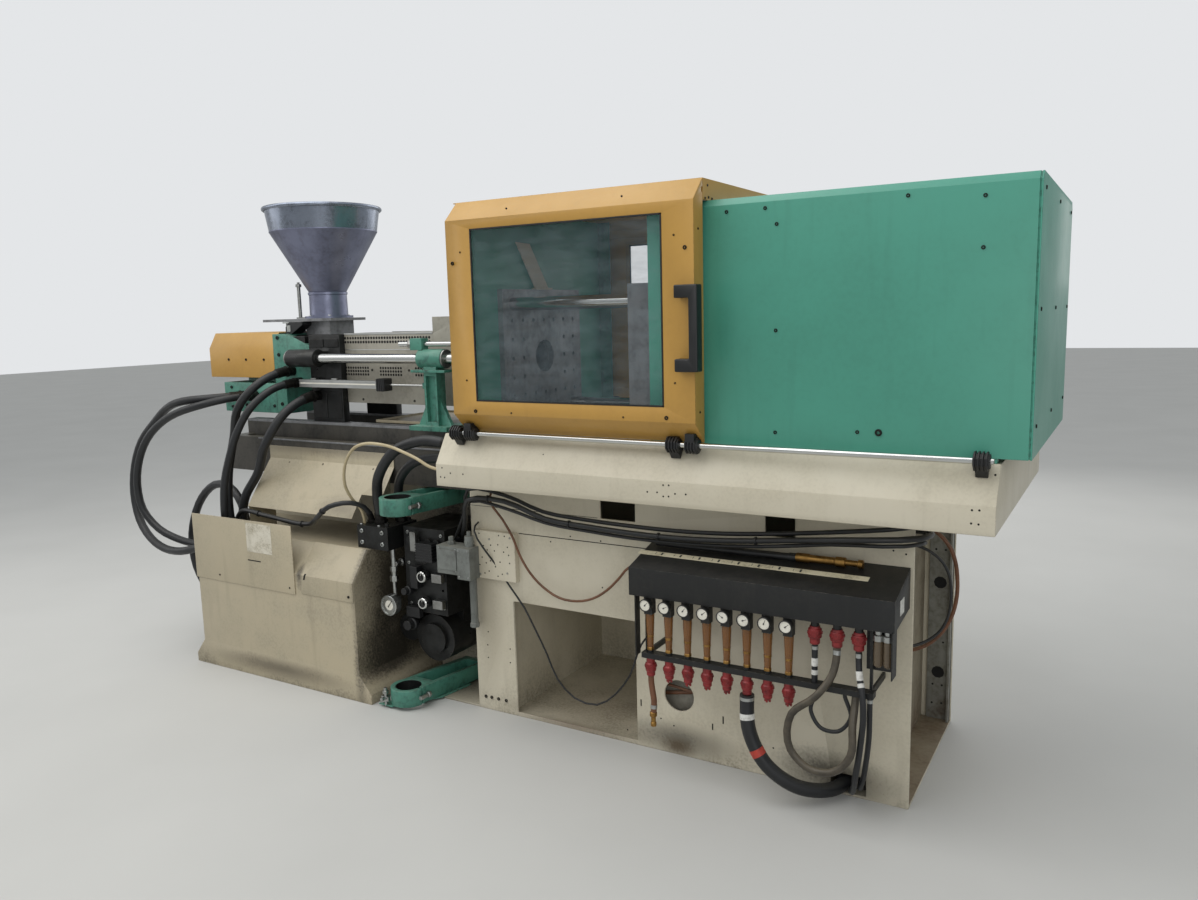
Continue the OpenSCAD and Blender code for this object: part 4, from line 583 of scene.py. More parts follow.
def dressMesh(name, mesh, body, material, nodes=(), soft=0.0, sharp=32):
    mesh.polygons.foreach_set("use_smooth", [True] * len(mesh.polygons))
    if not len(mesh.materials):
        mesh.materials.append(material)
    piece = bpy.data.objects.new(name, mesh)
    bpy.context.scene.collection.objects.link(piece)
    if soft:
        edge = piece.modifiers.new("softEdges", "BEVEL")
        edge.width, edge.segments = soft / 1000, 2
        edge.limit_method, edge.angle_limit = "ANGLE", math.radians(30)
        edge.harden_normals = True
        edge.miter_outer = "MITER_ARC"
    else:
        mesh.set_sharp_from_angle(angle=math.radians(sharp))
    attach(piece, body)
    if nodes:
        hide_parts(*nodes)
    return piece


# Hoses and cables: the routes of the part's source, in metres, each after its diameter.
cordRoutes = {
    "hydraulic": [
        (0.036, [(-1.5, -0.206, 1.165), (-1.553, -0.331, 1.163), (-1.677, -0.393, 1.151),
            (-1.815, -0.379, 1.113), (-1.929, -0.372, 1.041), (-2.028, -0.379, 0.951),
            (-2.092, -0.384, 0.832), (-2.107, -0.393, 0.7), (-2.061, -0.407, 0.575),
            (-1.954, -0.428, 0.498), (-1.825, -0.447, 0.466), (-1.691, -0.46, 0.471),
            (-1.56, -0.458, 0.5), (-1.426, -0.455, 0.515)]),
        (0.034, [(-1.44, -0.206, 1.165), (-1.475, -0.321, 1.159), (-1.569, -0.395, 1.133),
            (-1.683, -0.424, 1.1), (-1.796, -0.432, 1.05), (-1.894, -0.438, 0.976),
            (-1.965, -0.441, 0.875), (-1.999, -0.441, 0.758), (-1.984, -0.435, 0.636),
            (-1.906, -0.415, 0.546), (-1.794, -0.393, 0.501), (-1.671, -0.385, 0.49),
            (-1.549, -0.388, 0.505), (-1.426, -0.39, 0.515)]),
        (0.036, [(-1.185, -0.206, 1.28), (-1.219, -0.332, 1.24), (-1.291, -0.398, 1.137),
            (-1.344, -0.393, 1.004), (-1.376, -0.406, 0.866), (-1.386, -0.414, 0.727),
            (-1.38, -0.415, 0.586)]),
        (0.032, [(-1.14, -0.206, 1.23), (-1.163, -0.317, 1.21), (-1.21, -0.397, 1.14),
            (-1.255, -0.44, 1.041), (-1.291, -0.463, 0.932), (-1.318, -0.479, 0.819),
            (-1.332, -0.481, 0.703), (-1.332, -0.478, 0.586)]),
        (0.038, [(-1.03, -0.206, 1.175), (-1.058, -0.344, 1.119), (-1.126, -0.406, 0.989),
            (-1.209, -0.39, 0.856), (-1.297, -0.401, 0.732), (-1.32, -0.402, 0.586)])],
    "deck": [
        (0.04, [(-0.09, -0.43, 1.04), (-0.225, -0.438, 1.048), (-0.349, -0.455, 1.007),
            (-0.442, -0.45, 0.912), (-0.512, -0.398, 0.817), (-0.533, -0.364, 0.69)]),
        (0.036, [(-0.09, -0.4, 0.97), (-0.205, -0.402, 0.977), (-0.317, -0.397, 0.952),
            (-0.407, -0.374, 0.885), (-0.467, -0.327, 0.799), (-0.485, -0.3, 0.69)]),
        (0.02, [(-1.304, -0.448, 0.586), (-1.291, -0.452, 0.654), (-1.239, -0.463, 0.699),
            (-1.168, -0.472, 0.705), (-1.096, -0.476, 0.698), (-1.023, -0.479, 0.693),
            (-0.951, -0.482, 0.687), (-0.879, -0.477, 0.68), (-0.805, -0.479, 0.688),
            (-0.748, -0.501, 0.719), (-0.672, -0.503, 0.773), (-0.605, -0.451, 0.784),
            (-0.581, -0.406, 0.761), (-0.576, -0.37, 0.69)]),
        (0.036, [(-1.35, -0.36, 0.586), (-1.387, -0.348, 0.696), (-1.477, -0.332, 0.761),
            (-1.596, -0.32, 0.763), (-1.702, -0.318, 0.693), (-1.772, -0.317, 0.591),
            (-1.808, -0.315, 0.474), (-1.791, -0.315, 0.352), (-1.716, -0.319, 0.256),
            (-1.603, -0.334, 0.211), (-1.48, -0.34, 0.205)])],
    "bundle": [
        (0.018, [(-0.215, -0.3, 0.64), (-0.098, -0.378, 0.726), (-0.02, -0.449, 0.843),
            (0.142, -0.446, 0.85), (0.306, -0.439, 0.801), (0.479, -0.44, 0.79),
            (0.652, -0.44, 0.784), (0.825, -0.44, 0.785), (0.998, -0.441, 0.796),
            (1.173, -0.438, 0.815), (1.34, -0.478, 0.842), (1.55, -0.419, 0.855),
            (1.56, -0.318, 0.848), (1.416, -0.245, 0.835)]),
        (0.014, [(-0.215, -0.262, 0.655), (-0.117, -0.345, 0.748), (-0.043, -0.416, 0.874),
            (0.123, -0.419, 0.866), (0.286, -0.418, 0.82), (0.456, -0.42, 0.808),
            (0.626, -0.42, 0.803), (0.797, -0.42, 0.803), (0.967, -0.42, 0.811),
            (1.137, -0.42, 0.828), (1.308, -0.417, 0.849), (1.508, -0.416, 0.88),
            (1.546, -0.3, 0.873), (1.416, -0.22, 0.855)]),
        (0.012, [(-0.215, -0.332, 0.645), (-0.126, -0.369, 0.726), (-0.029, -0.424, 0.832),
            (0.135, -0.426, 0.819), (0.297, -0.425, 0.783), (0.464, -0.425, 0.771),
            (0.631, -0.425, 0.764), (0.798, -0.425, 0.765), (0.964, -0.426, 0.773),
            (1.131, -0.427, 0.79), (1.298, -0.426, 0.813), (1.508, -0.434, 0.832),
            (1.548, -0.34, 0.825), (1.416, -0.27, 0.815)])],
    "loose": [
        (0.012, [(-0.09, -0.49, 0.955), (-0.153, -0.491, 0.962), (-0.21, -0.496, 0.99),
            (-0.27, -0.499, 1.011), (-0.332, -0.5, 1.028), (-0.396, -0.5, 1.035),
            (-0.459, -0.497, 1.033), (-0.52, -0.492, 1.015), (-0.569, -0.485, 0.974),
            (-0.601, -0.477, 0.92), (-0.614, -0.466, 0.858), (-0.613, -0.438, 0.801),
            (-0.605, -0.4, 0.751), (-0.602, -0.385, 0.69)]),
        (0.009, [(0.02, -0.344, 0.87), (0.042, -0.396, 0.829), (0.082, -0.383, 0.767),
            (0.121, -0.38, 0.706), (0.152, -0.381, 0.64), (0.193, -0.38, 0.58),
            (0.247, -0.378, 0.533), (0.312, -0.375, 0.502), (0.384, -0.374, 0.499),
            (0.453, -0.376, 0.519), (0.513, -0.381, 0.558), (0.565, -0.391, 0.607),
            (0.615, -0.405, 0.657), (0.681, -0.412, 0.676)]),
        (0.007, [(-0.06, -0.344, 0.735), (-0.046, -0.388, 0.712), (-0.01, -0.388, 0.655),
            (0.027, -0.365, 0.59), (0.087, -0.364, 0.514), (0.147, -0.361, 0.44),
            (0.195, -0.36, 0.358), (0.241, -0.36, 0.275), (0.283, -0.36, 0.189),
            (0.355, -0.36, 0.13), (0.448, -0.36, 0.123), (0.525, -0.36, 0.178),
            (0.582, -0.357, 0.256), (0.622, -0.382, 0.336), (0.644, -0.386, 0.386),
            (0.65, -0.344, 0.405)]),
        (0.012, [(1.416, -0.19, 0.85), (1.467, -0.19, 0.849), (1.517, -0.19, 0.841),
            (1.56, -0.189, 0.815), (1.592, -0.188, 0.776), (1.607, -0.185, 0.728),
            (1.612, -0.182, 0.677), (1.611, -0.18, 0.627), (1.602, -0.18, 0.577),
            (1.583, -0.182, 0.53), (1.554, -0.187, 0.489), (1.514, -0.194, 0.458),
            (1.467, -0.2, 0.442), (1.416, -0.2, 0.44)]),
        (0.009, [(1.416, -0.25, 0.79), (1.461, -0.249, 0.79), (1.506, -0.244, 0.789),
            (1.546, -0.237, 0.772), (1.578, -0.229, 0.741), (1.596, -0.221, 0.7),
            (1.6, -0.215, 0.656), (1.599, -0.21, 0.611), (1.591, -0.208, 0.567),
            (1.572, -0.211, 0.526), (1.541, -0.22, 0.495), (1.503, -0.233, 0.476),
            (1.461, -0.248, 0.47), (1.416, -0.25, 0.47)])],
    "cooling": [
        (0.02, [(0.743, -0.506, 0.34), (0.744, -0.506, 0.313), (0.749, -0.508, 0.286),
            (0.754, -0.51, 0.259), (0.754, -0.512, 0.232), (0.752, -0.512, 0.205)]),
        (0.044, [(1.071, -0.506, 0.34), (1.083, -0.517, 0.226), (1.135, -0.517, 0.134),
            (1.217, -0.484, 0.068), (1.289, -0.415, 0.039), (1.325, -0.3, 0.031)]),
        (0.022, [(1.345, -0.506, 0.535), (1.337, -0.524, 0.457), (1.296, -0.55, 0.393),
            (1.227, -0.555, 0.329), (1.225, -0.556, 0.219), (1.286, -0.558, 0.172),
            (1.353, -0.559, 0.18), (1.401, -0.556, 0.238), (1.401, -0.539, 0.319),
            (1.4, -0.506, 0.402)]),
        (0.012, [(1.29, -0.506, 0.402), (1.271, -0.511, 0.332), (1.304, -0.515, 0.285),
            (1.353, -0.514, 0.285), (1.387, -0.509, 0.33), (1.368, -0.506, 0.402)]),
        (0.018, [(1.28, -0.506, 0.535), (1.28, -0.506, 0.512), (1.28, -0.506, 0.489),
            (1.28, -0.506, 0.466), (1.28, -0.506, 0.443), (1.28, -0.506, 0.42)]),
        (0.018, [(1.407, -0.506, 0.535), (1.412, -0.516, 0.471), (1.427, -0.535, 0.41),
            (1.431, -0.54, 0.345), (1.425, -0.538, 0.28), (1.416, -0.528, 0.216),
            (1.403, -0.508, 0.155), (1.39, -0.472, 0.103), (1.373, -0.426, 0.06),
            (1.356, -0.372, 0.038), (1.363, -0.3, 0.028)]),
        (0.016, [(1.44, -0.506, 0.402), (1.44, -0.505, 0.343), (1.438, -0.499, 0.284),
            (1.431, -0.486, 0.226), (1.421, -0.466, 0.172), (1.409, -0.438, 0.121),
            (1.393, -0.407, 0.073), (1.381, -0.364, 0.044), (1.381, -0.3, 0.028)])]}
cordLooks = {
    "hydraulic": ("hoseRubber", "stiff"), "deck": ("hoseRubber", "medium"),
    "bundle": ("cableJacket", "medium"), "loose": ("cableJacket", "limp"),
    "cooling": ("hoseRubber", "medium")}
cordTints = {"loose0": "airTube", "loose1": "brownHose", "loose3": "brownHose",
             "cooling0": "brownHose", "cooling2": "siltedHose", "deck2": "cableJacket"}
cordNodes = {"hydraulic": "hydraulic_hoses", "deck": "deck_hoses", "bundle": "cable_bundle",
             "loose": "loose_cables", "cooling": "cooling_hoses"}


# the slope of the line at a route point: square to the wall at both ends
def routeSlope(points, i):
    if i == 0:
        return squareTo(points[1] - points[0])
    if i == len(points) - 1:
        return squareTo(points[i] - points[i - 1])
    a, b = points[i] - points[i - 1], points[i + 1] - points[i]
    u, w = a.length, b.length
    return (a * w / u + b * u / w) / (u + w)


def smoothRoute(route, steps):
    points = [Vector(p) for p in route]
    line = []
    for i, (a, b) in enumerate(zip(points, points[1:])):
        here, there, span = routeSlope(points, i), routeSlope(points, i + 1), (b - a).length
        for k in range(steps):
            u = k / steps
            v = 1 - u
            line.append(a * v * v * (1 + 2 * u) + b * u * u * (3 - 2 * u)
                        + (here * v - there * u) * span * u * v)
    return line + [points[-1]]


def tubeMesh(name, line, diameter, sides):
    bm = bmesh.new()
    addTube(bm, line, diameter / 2, sides, square=True)
    bmesh.ops.recalc_face_normals(bm, faces=bm.faces)
    mesh = bpy.data.meshes.new(name)
    bm.to_mesh(mesh)
    bm.free()
    return mesh


# tubes: pieces of the line per route, sides of a thin and of a thick one, limit between the two
cordMesh = {"steps": 39, "thin": 10, "thick": 18, "limit": 0.02, "sharp": 60}
hoseTail = {"above": 18, "profile": [(0, 9), (4, 12), (16, 12), (18, 8), (36, 7.5), (38, 9.5),
                                     (50, 9.5)]}
cordLines = {}


def layCords():
    m = cordMesh
    for group, cords in cordRoutes.items():
        tint, stiffness = cordLooks[group]
        node = cordNodes[group]
        for i, (diameter, route) in enumerate(cords):
            name = f"{group}{i}"
            line = smoothRoute(route, m["steps"] // (len(route) - 1))
            cordLines[name] = line
            mesh = tubeMesh(name, line, diameter, m["thick" if diameter > m["limit"] else "thin"])
            mesh.polygons.foreach_set("use_smooth", [True] * len(mesh.polygons))
            mesh.materials.append(finish[cordTints.get(name, tint)])
            mesh.set_sharp_from_angle(angle=math.radians(m["sharp"]))
            hose = bpy.data.objects.new(f"{group}Hose{i + 1}", mesh)
            bpy.context.scene.collection.objects.link(hose)
            if group == "hydraulic":
                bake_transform(hose)
            else:
                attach(hose, bodyOf[node])
            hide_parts(node)
            if name == "cooling0":  # cut off the water circuit, it ends in its own fitting
                end = bmesh.new()
                addTurned(end, line[-1] * 1000 + Vector((0, 0, hoseTail["above"])), down,
                          hoseTail["profile"], 16)
                tail = finishPiece("hoseTail", end, "bed", finish["brass"], soft=0.6)
                continue


layCords()
print("hoses and cables laid")

# The frame's own solids that keep their shape: a finish each.
plainNodes = {
    "pump_unit": "oiledIron", "hose_ports": "oiledIron", "machine_bed": "oilyBed",
    "clamp_ways": "platenSteel", "fixed_platen": "platenSteel", "tie_bars": "hardChrome",
    "clamp_cylinder": "tealEnamel", "mould_wall": "tealEnamel", "door_rails": "hardChrome",
    "guide_rods": "hardChrome", "hydraulic_manifold": "oiledIron",
    "flow_meter_frame": "blackWrinkleCoat",
    "moving_platen": "platenSteel", "clamp_piston": "hardChrome", "ejector": "turnedSteel",
    "injection_cylinder": "oiledIron", "barrel": "oiledIron",
    "position_transducer": "anodisedAluminium", "hose_stubs": "blackOxide",
    "hopper_slide": "platenSteel", "injection_piston": "hardChrome",
    "plasticising_screw": "turnedSteel"}


def finishNodes():
    for node, name in plainNodes.items():
        mesh = cadNodes[node].data
        mesh.materials.clear()
        mesh.materials.append(finish[name])


finishNodes()
# sheet-metal and cast solids whose edges are softened: finish, radius and slot of each
softened = {
    "base_frame": ("creamPowderCoat", 2.5, "cream_paint"),
    "pump_housing": ("oiledCreamCoat", 2.5, "cream_paint"),
    "pump_panels": ("oiledCreamCoat", 0.8, "cream_paint"),
    "deck_cover": ("oiledCreamCoat", 0.9, "cream_paint"),
    "apron": ("creamPowderCoat", 2.5, "cream_paint"),
    "clamp_cover": ("tealEnamel", 1.2, "teal_paint"),
    "clamp_end_panel": ("tealEnamel", 1.5, "teal_paint"),
    "mould_hood": ("yellowEnamel", 1.0, "yellow_paint"),
    "door_frame": ("yellowEnamel", 1.0, "yellow_paint"),
    "rear_door_frame": ("yellowEnamel", 1.0, "yellow_paint"),
    "column_support": ("castTealEnamel", 3.0, "teal_paint"),
    "accumulator_clamps": ("castTealEnamel", 3.0, "arm_paint"),
    "injection_block": ("oiledIron", 2.5, "dark_iron"),
    "drive_plate": ("castTealEnamel", 3.0, "teal_paint"),
    "motor_cover": ("yellowEnamel", 1.2, "yellow_paint"),
    "manifold_box": ("castTealEnamel", 2.0, "teal_paint"),
    "barrel_guard": ("guardEnamel", 1.0, "cream_paint"),
    "solenoid_valve": ("greyCasting", 2.0, "aluminium"),
    "cooling_housing": ("blackWrinkleCoat", 1.2, "black_paint"),
    "door_handle": ("mouldedBlack", 4.0, "black_plastic"),
}


def softenNodes():
    for node, (name, radius, slot) in softened.items():
        title = "".join(w.capitalize() for w in node.split("_"))
        finishPiece(title[0].lower() + title[1:], copyNode(node), bodyOf[node], finish[name],
                    [node], radius, turn=False)


softenNodes()
print("solids dressed")


# Small repeated parts: each point carries a facing and a size, and a node tree grows the shape.
def growTree(name, buildShape, material, inputs):
    tree = bpy.data.node_groups.new(name, "GeometryNodeTree")
    tree.interface.new_socket("Points", in_out="INPUT", socket_type="NodeSocketGeometry")
    for label, value in inputs.items():
        kind = "NodeSocketInt" if label == "Seed" else "NodeSocketFloat"
        socket = tree.interface.new_socket(label, in_out="INPUT", socket_type=kind)
        socket.default_value = value
    tree.interface.new_socket("Shapes", in_out="OUTPUT", socket_type="NodeSocketGeometry")
    given = addNode(tree, "NodeGroupInput").outputs
    shape = buildShape(tree, given)
    facing = addNode(tree, "GeometryNodeInputNamedAttribute", {"Name": "facing"},
                     data_type="FLOAT_VECTOR").outputs[0]
    size = addNode(tree, "GeometryNodeInputNamedAttribute", {"Name": "size"},
                   data_type="FLOAT").outputs[0]
    turned = addNode(tree, "FunctionNodeAlignRotationToVector", {"Vector": facing},
                     axis="Z").outputs[0]
    if "Spin" in inputs:
        spin = addNode(tree, "FunctionNodeRandomValue", {
            "Max": given["Spin"], "Seed": given["Seed"]}, data_type="FLOAT")
        spin = addNode(tree, "ShaderNodeCombineXYZ", {"Z": spin.outputs[1]}).outputs[0]
        turned = addNode(tree, "FunctionNodeRotateRotation", {
            "Rotation": turned, "Rotate By": spin}, rotation_space="LOCAL").outputs[0]
    shapes = addNode(tree, "GeometryNodeInstanceOnPoints", {
        "Points": given["Points"], "Instance": shape, "Rotation": turned, "Scale": size}).outputs[0]
    shapes = addNode(tree, "GeometryNodeRealizeInstances", {0: shapes}).outputs[0]
    painted = addNode(tree, "GeometryNodeSetMaterial", {"Geometry": shapes, "Material": material})
    addNode(tree, "NodeGroupOutput", {"Shapes": painted.outputs[0]})
    return tree


def screwShape(tree, given):
    head = addNode(tree, "GeometryNodeMeshCylinder", {
        "Vertices": 12, "Radius": 0.5, "Depth": given["Height"]})
    rim = addNode(tree, "GeometryNodeExtrudeMesh", {
        "Mesh": head.outputs["Mesh"], "Selection": head.outputs["Top"],
        "Offset Scale": given["Dome"]})
    domed = addNode(tree, "GeometryNodeScaleElements", {
        "Geometry": rim.outputs["Mesh"], "Selection": rim.outputs["Top"], "Scale": 0.84})
    well = addNode(tree, "GeometryNodeExtrudeMesh", {
        "Mesh": domed.outputs[0], "Selection": rim.outputs["Top"], "Offset Scale": 0.0})
    socket = addNode(tree, "GeometryNodeScaleElements", {
        "Geometry": well.outputs["Mesh"], "Selection": well.outputs["Top"],
        "Scale": given["Socket"]})
    return addNode(tree, "GeometryNodeExtrudeMesh", {
        "Mesh": socket.outputs[0], "Selection": well.outputs["Top"],
        "Offset Scale": given["Depth"]}).outputs["Mesh"]


def discShape(tree, given):
    return addNode(tree, "GeometryNodeMeshCylinder", {
        "Vertices": 10, "Radius": given["Width"], "Depth": given["Height"]}).outputs["Mesh"]


def barShape(tree, given):
    size = addNode(tree, "ShaderNodeCombineXYZ", {
        "X": given["Width"], "Y": given["Length"], "Z": given["Height"]}).outputs[0]
    return addNode(tree, "GeometryNodeMeshCube", {"Size": size}).outputs["Mesh"]


# sizes are parts of each point's own size; Spin is in radians
socketScrew = {"Height": 0.3, "Dome": 0.12, "Socket": 0.55, "Depth": -0.28, "Spin": 6.28}
grown = {
    "screws": growTree("screws", screwShape, finish["blackOxide"], {**socketScrew, "Seed": 11}),
    "plated": growTree("platedScrews", screwShape, finish["zincPlate"], {**socketScrew, "Seed": 5}),
    "holes": growTree("punchedHoles", discShape, finish["deepShadow"], {
        "Width": 0.5, "Height": 0.03}),
    "louvres": growTree("louvres", barShape, finish["deepShadow"], {
        "Width": 1.0, "Length": 14.0, "Height": 0.1}),
    "teeth": growTree("couplingTeeth", barShape, finish["redCoupling"], {
        "Width": 1.0, "Length": 5.0, "Height": 1.0})}
facings = {"front": (0, -1, 0), "back": (0, 1, 0), "right": (1, 0, 0), "left": (-1, 0, 0),
           "top": (0, 0, 1), "slope": (0, -0.855, 0.519), "deckSlope": (0, -0.81, 0.587)}
axisOf = {"front": 1, "back": 1, "right": 0, "left": 0, "top": 2}


def growField(name, kind, spots, body, **values):
    points, faces, sizes = [], [], []
    for point, facing, size in spots:
        points.append([v / 1000 for v in point])
        faces.extend(facings.get(facing, facing))
        sizes.append(size / 1000)
    mesh = bpy.data.meshes.new(name + "Seeds")
    mesh.from_pydata(points, [], [])
    mesh.attributes.new("facing", "FLOAT_VECTOR", "POINT").data.foreach_set("vector", faces)
    mesh.attributes.new("size", "FLOAT", "POINT").data.foreach_set("value", sizes)
    seeds = bpy.data.objects.new(name + "Seeds", mesh)
    bpy.context.scene.collection.objects.link(seeds)
    grower = seeds.modifiers.new("grow", "NODES")
    grower.node_group = grown[kind]
    for socket in grown[kind].interface.items_tree:
        if socket.in_out == "INPUT" and socket.name in values:
            grower[socket.identifier] = values[socket.name]
    depsgraph = bpy.context.evaluated_depsgraph_get()
    shapes = bpy.data.meshes.new_from_object(seeds.evaluated_get(depsgraph))
    bpy.data.objects.remove(seeds)
    return dressMesh(name, shapes, body, None)


def spotsOn(side, plane, size, pairs):
    spots = []
    for pair in pairs:
        point = list(pair)
        point.insert(axisOf[side], plane)
        spots.append((point, side, size))
    return spots


def spotsOf(rows):
    return [spot for row in rows for spot in spotsOn(*row)]


def grid(firsts, seconds):
    return [(a, b) for a in firsts for b in seconds]


# Fasteners. A row holds the side, the plane of the face, the size of the head, and the places on
# that face. The rows of the doors begin at the size, because each door sets its side and plane.
doorScrews = {
    "face": 552, "rows": [
        (13, [(902, 1679), (835, 1182), (46, 1674), (116, 1180)]),
        (6.5, [(698, 1839), (276, 1836), (264, 1178), (687, 1179), (867, 1716), (865, 1287),
               (80, 1709), (84, 1284)])],
    "edge": 930.3, "edgeHead": 7, "edgeDots": [(522, 1732), (520, 1199)]}
coverDots = [(998, 1777), (1115, 1779), (1149, 1733), (1507, 1781), (1696, 1766), (1695, 1638),
             (1147, 1436), (1146, 1142), (1384, 1153)]
coverScrews = [
    ("front", -471, 11, coverDots), ("front", -471, 20, [(1442, 1154)]),
    ("back", 471, 11, coverDots), ("back", 471, 20, [(1442, 1154)]),
    ("right", 1828, 11, grid((-410, 0, 410), (1180, 1480, 1780))),
    ("right", 930, 8, [(-470, 1822), (-445, 1826), (-420, 1824), (-452, 1860)]),
    ("top", 1879, 9, grid((60, 480, 890), (-440, 440))),
    ("front", -528, 13, [(-1437, 425), (-1010, 423)]),
    ("front", -532.5, 7.5, [(-1330, 424), (-897, 422)]),
    ("front", -531.5, 11, [(-567, 428)])]
deckScrews = [((-909, -298, 895), 11), ((-867, -303, 888), 9), ((-1110, -300, 893), 9),
              ((-620, -300, 893), 9)]
motorScrews = [(-1609, 1328), (-1489, 1328), (-1369, 1328)]
blockScrews = [(-1060, 1400), (-905, 1400), (-1060, 1090), (-905, 1090)]
carriageScrews = [
    ("front", -180, 12, motorScrews), ("back", 180, 12, motorScrews),
    ("left", -1741, 12, grid((-140, 140), (1275, 1360))),
    ("front", -150, 10, [(-739, 1285), (-535, 1285), (-918, 1179), (-514, 1160), (-800, 1160),
                         (-260, 1160), (-300, 1460)]),
    ("back", 150, 10, [(-739, 1285), (-535, 1285), (-300, 1460), (-514, 1160)]),
    ("front", -180, 17, [(-1268, 1350), (-1270, 1425), (-1268, 1130)]),
    ("front", -180, 15, [(-1452, 1205), (-1507, 1120), (-1320, 1120), (-1604, 1200),
                         (-1604, 1110)] + blockScrews + [(-1060, 1180), (-905, 1180)]),
    ("back", 180, 15, [(-1452, 1205), (-1507, 1120), (-1604, 1200)] + blockScrews)]
valveScrews = [
    ("front", -360, 14, [(-400, 668), (-232, 668), (-400, 380), (-232, 380), (-400, 545),
                         (-232, 545)]),
    ("front", -420, 18, [(-478, 622), (-585, 622), (-478, 668), (-585, 668)]),
    ("front", -420, 8, [(-195, 558), (-115, 558), (-195, 640), (-115, 640)]),
    ("front", -425, 8, [(-97, 540), (-54, 540), (-97, 640), (-54, 640)]),
    ("top", 690, 14, grid((-600, -505), (-405, -265))),
    ("front", -368, 8, [(6, 682), (83, 561), (-40, 545), (100, 695)]),
    ("right", 693, 26, grid((-225, 225), (1110, 1560)))]
sillScrews = ("front", -344, 13, [(-60, 50), (-32, 51), (0, 51), (36, 51)])
hopperFlange = {"x": -1128, "z": 1516, "circle": 94, "screws": 6, "turn": 0.3, "head": 15}


def growScrews():
    d, f = doorScrews, hopperFlange
    for sign, side, body in ((-1, "front", "door"), (1, "back", "rear_door")):
        spots = spotsOf([(side, sign * d["face"], *row) for row in d["rows"]])
        spots += spotsOn("right", d["edge"], d["edgeHead"], [
            (sign * y, z) for y, z in d["edgeDots"]])
        growField(body + "Screws", "screws", spots, body)
    spots = spotsOf(coverScrews)
    spots += [(point, "deckSlope", size) for point, size in deckScrews]
    spots += spotsOn(*sillScrews)
    growField("coverScrews", "screws", spots, "bed")
    growField("carriageScrews", "screws", spotsOf(carriageScrews), "injection_unit")
    growField("valveScrews", "plated", spotsOf(valveScrews), "bed")
    around = [f["turn"] + k * 2 * math.pi / f["screws"] for k in range(f["screws"])]
    growField("hopperScrews", "plated", spotsOn("top", f["z"], f["head"], [
        (f["x"] + f["circle"] * math.cos(a), f["circle"] * math.sin(a)) for a in around]),
        "hopper_set")


growScrews()

# Punched and drilled holes, as flat discs of painted shade: the vents of the barrel guard, and
# single holes in the lip of the apron, the walls, the terminal box and the apron's slope; the rear
# louvres as bars of painted shade.
guardVents = {"face": 150.4, "upperSize": 11.5, "lowerSize": 10.5,
              "upper": [(-884 + 15 * k, z) for k in range(32) for z in (1402, 1419)],
              "lower": [(first + 14 * k, z) for first, count in ((-889, 10), (-691, 9), (-498, 5))
                        for k in range(count) for z in (1266, 1280, 1294)]}
lipDots = [(-62, 971), (-70, 938), (-52, 937), (-25, 954), (31, 954), (810, 972), (829, 973),
           (755, 947), (789, 948), (810, 937), (828, 938), (850, 948), (886, 949), (1698, 971),
           (1716, 972), (1697, 936), (1715, 935)]
wallDots = [(742, 101), (1096, 101), (263, 694), (471, 718), (473, 552), (347, 722), (1460, 793),
            (1496, 786), (-36, 312), (-41, 259), (-41, 209), (64, 260), (62, 206), (693, 117),
            (561, 47)]
boxDots = [(-40, 700), (-22, 655), (-5, 640), (12, 660), (28, 640), (45, 665), (-30, 610),
           (-12, 590), (8, 600), (30, 580), (52, 600), (70, 640), (88, 660), (95, 600), (60, 555),
           (40, 545), (-20, 550), (0, 560), (92, 630), (76, 700), (50, 700), (-42, 580)]
apronDots = [((1745, -487, 1059), 6), ((1745, -498, 1040), 6), ((1712, -485, 1062), 6),
             ((350, -500, 1037), 5)]


sheetDots = [("front", -532, 6, lipDots), ("back", 532, 6, lipDots), ("front", -344, 6, wallDots),
             ("front", -368, 6, boxDots)]
louvres = ("back", 344.5, 9, grid((905, 1245), range(180, 480, 24)))


def growHoles():
    g = guardVents
    for side, face in (("front", -g["face"]), ("back", g["face"])):
        rows = [(side, face, g[part + "Size"], g[part]) for part in ("upper", "lower")]
        growField("guardHoles" + side.capitalize(), "holes", spotsOf(rows), "injection_unit")
    spots = spotsOf(sheetDots) + [(point, "slope", size) for point, size in apronDots]
    growField("sheetHoles", "holes", spots, "bed")
    growField("rearLouvres", "louvres", spotsOn(*louvres), "bed")


growHoles()
print("screws and perforations grown")


# a turned shell: the profile closes on itself, so no cap is wanted
def addLoop(bm, start, axis, profile, sides=48):
    rings = []
    first, second = [i for i in range(3) if i != axis]
    for at, radius in profile:
        ring = []
        for k in range(sides):
            a = 2 * math.pi * k / sides
            point = list(start)
            point[axis] += at
            point[first] += radius * math.cos(a)
            point[second] += radius * math.sin(a)
            ring.append(bm.verts.new(point))
        rings.append(ring)
    joinRings(bm, rings + rings[:1])


# a tube section that follows a hose's centre line between two lengths
def addSleeve(bm, line, begin, end, radius, sides=20):
    places, walked = [], 0.0
    for a, b in zip(line, line[1:]):
        span = (b - a).length * 1000
        for cut in (begin, end):
            if walked <= cut < walked + span:
                places.append((cut, a.lerp(b, (cut - walked) / span) * 1000))
        walked += span
        if begin < walked < end:
            places.append((walked, b * 1000))
    places = [point for at, point in sorted(places, key=lambda item: item[0])]
    addTube(bm, places, radius, sides)


# a flat strip of this width along X, through points
def addRibbon(bm, points, width):
    rows = [[bm.verts.new((x, y, z)) for x in (x0 - width / 2, x0 + width / 2)]
            for x0, y, z in points]
    for low, high in zip(rows, rows[1:]):
        bm.faces.new((low[0], low[1], high[1], high[0]))


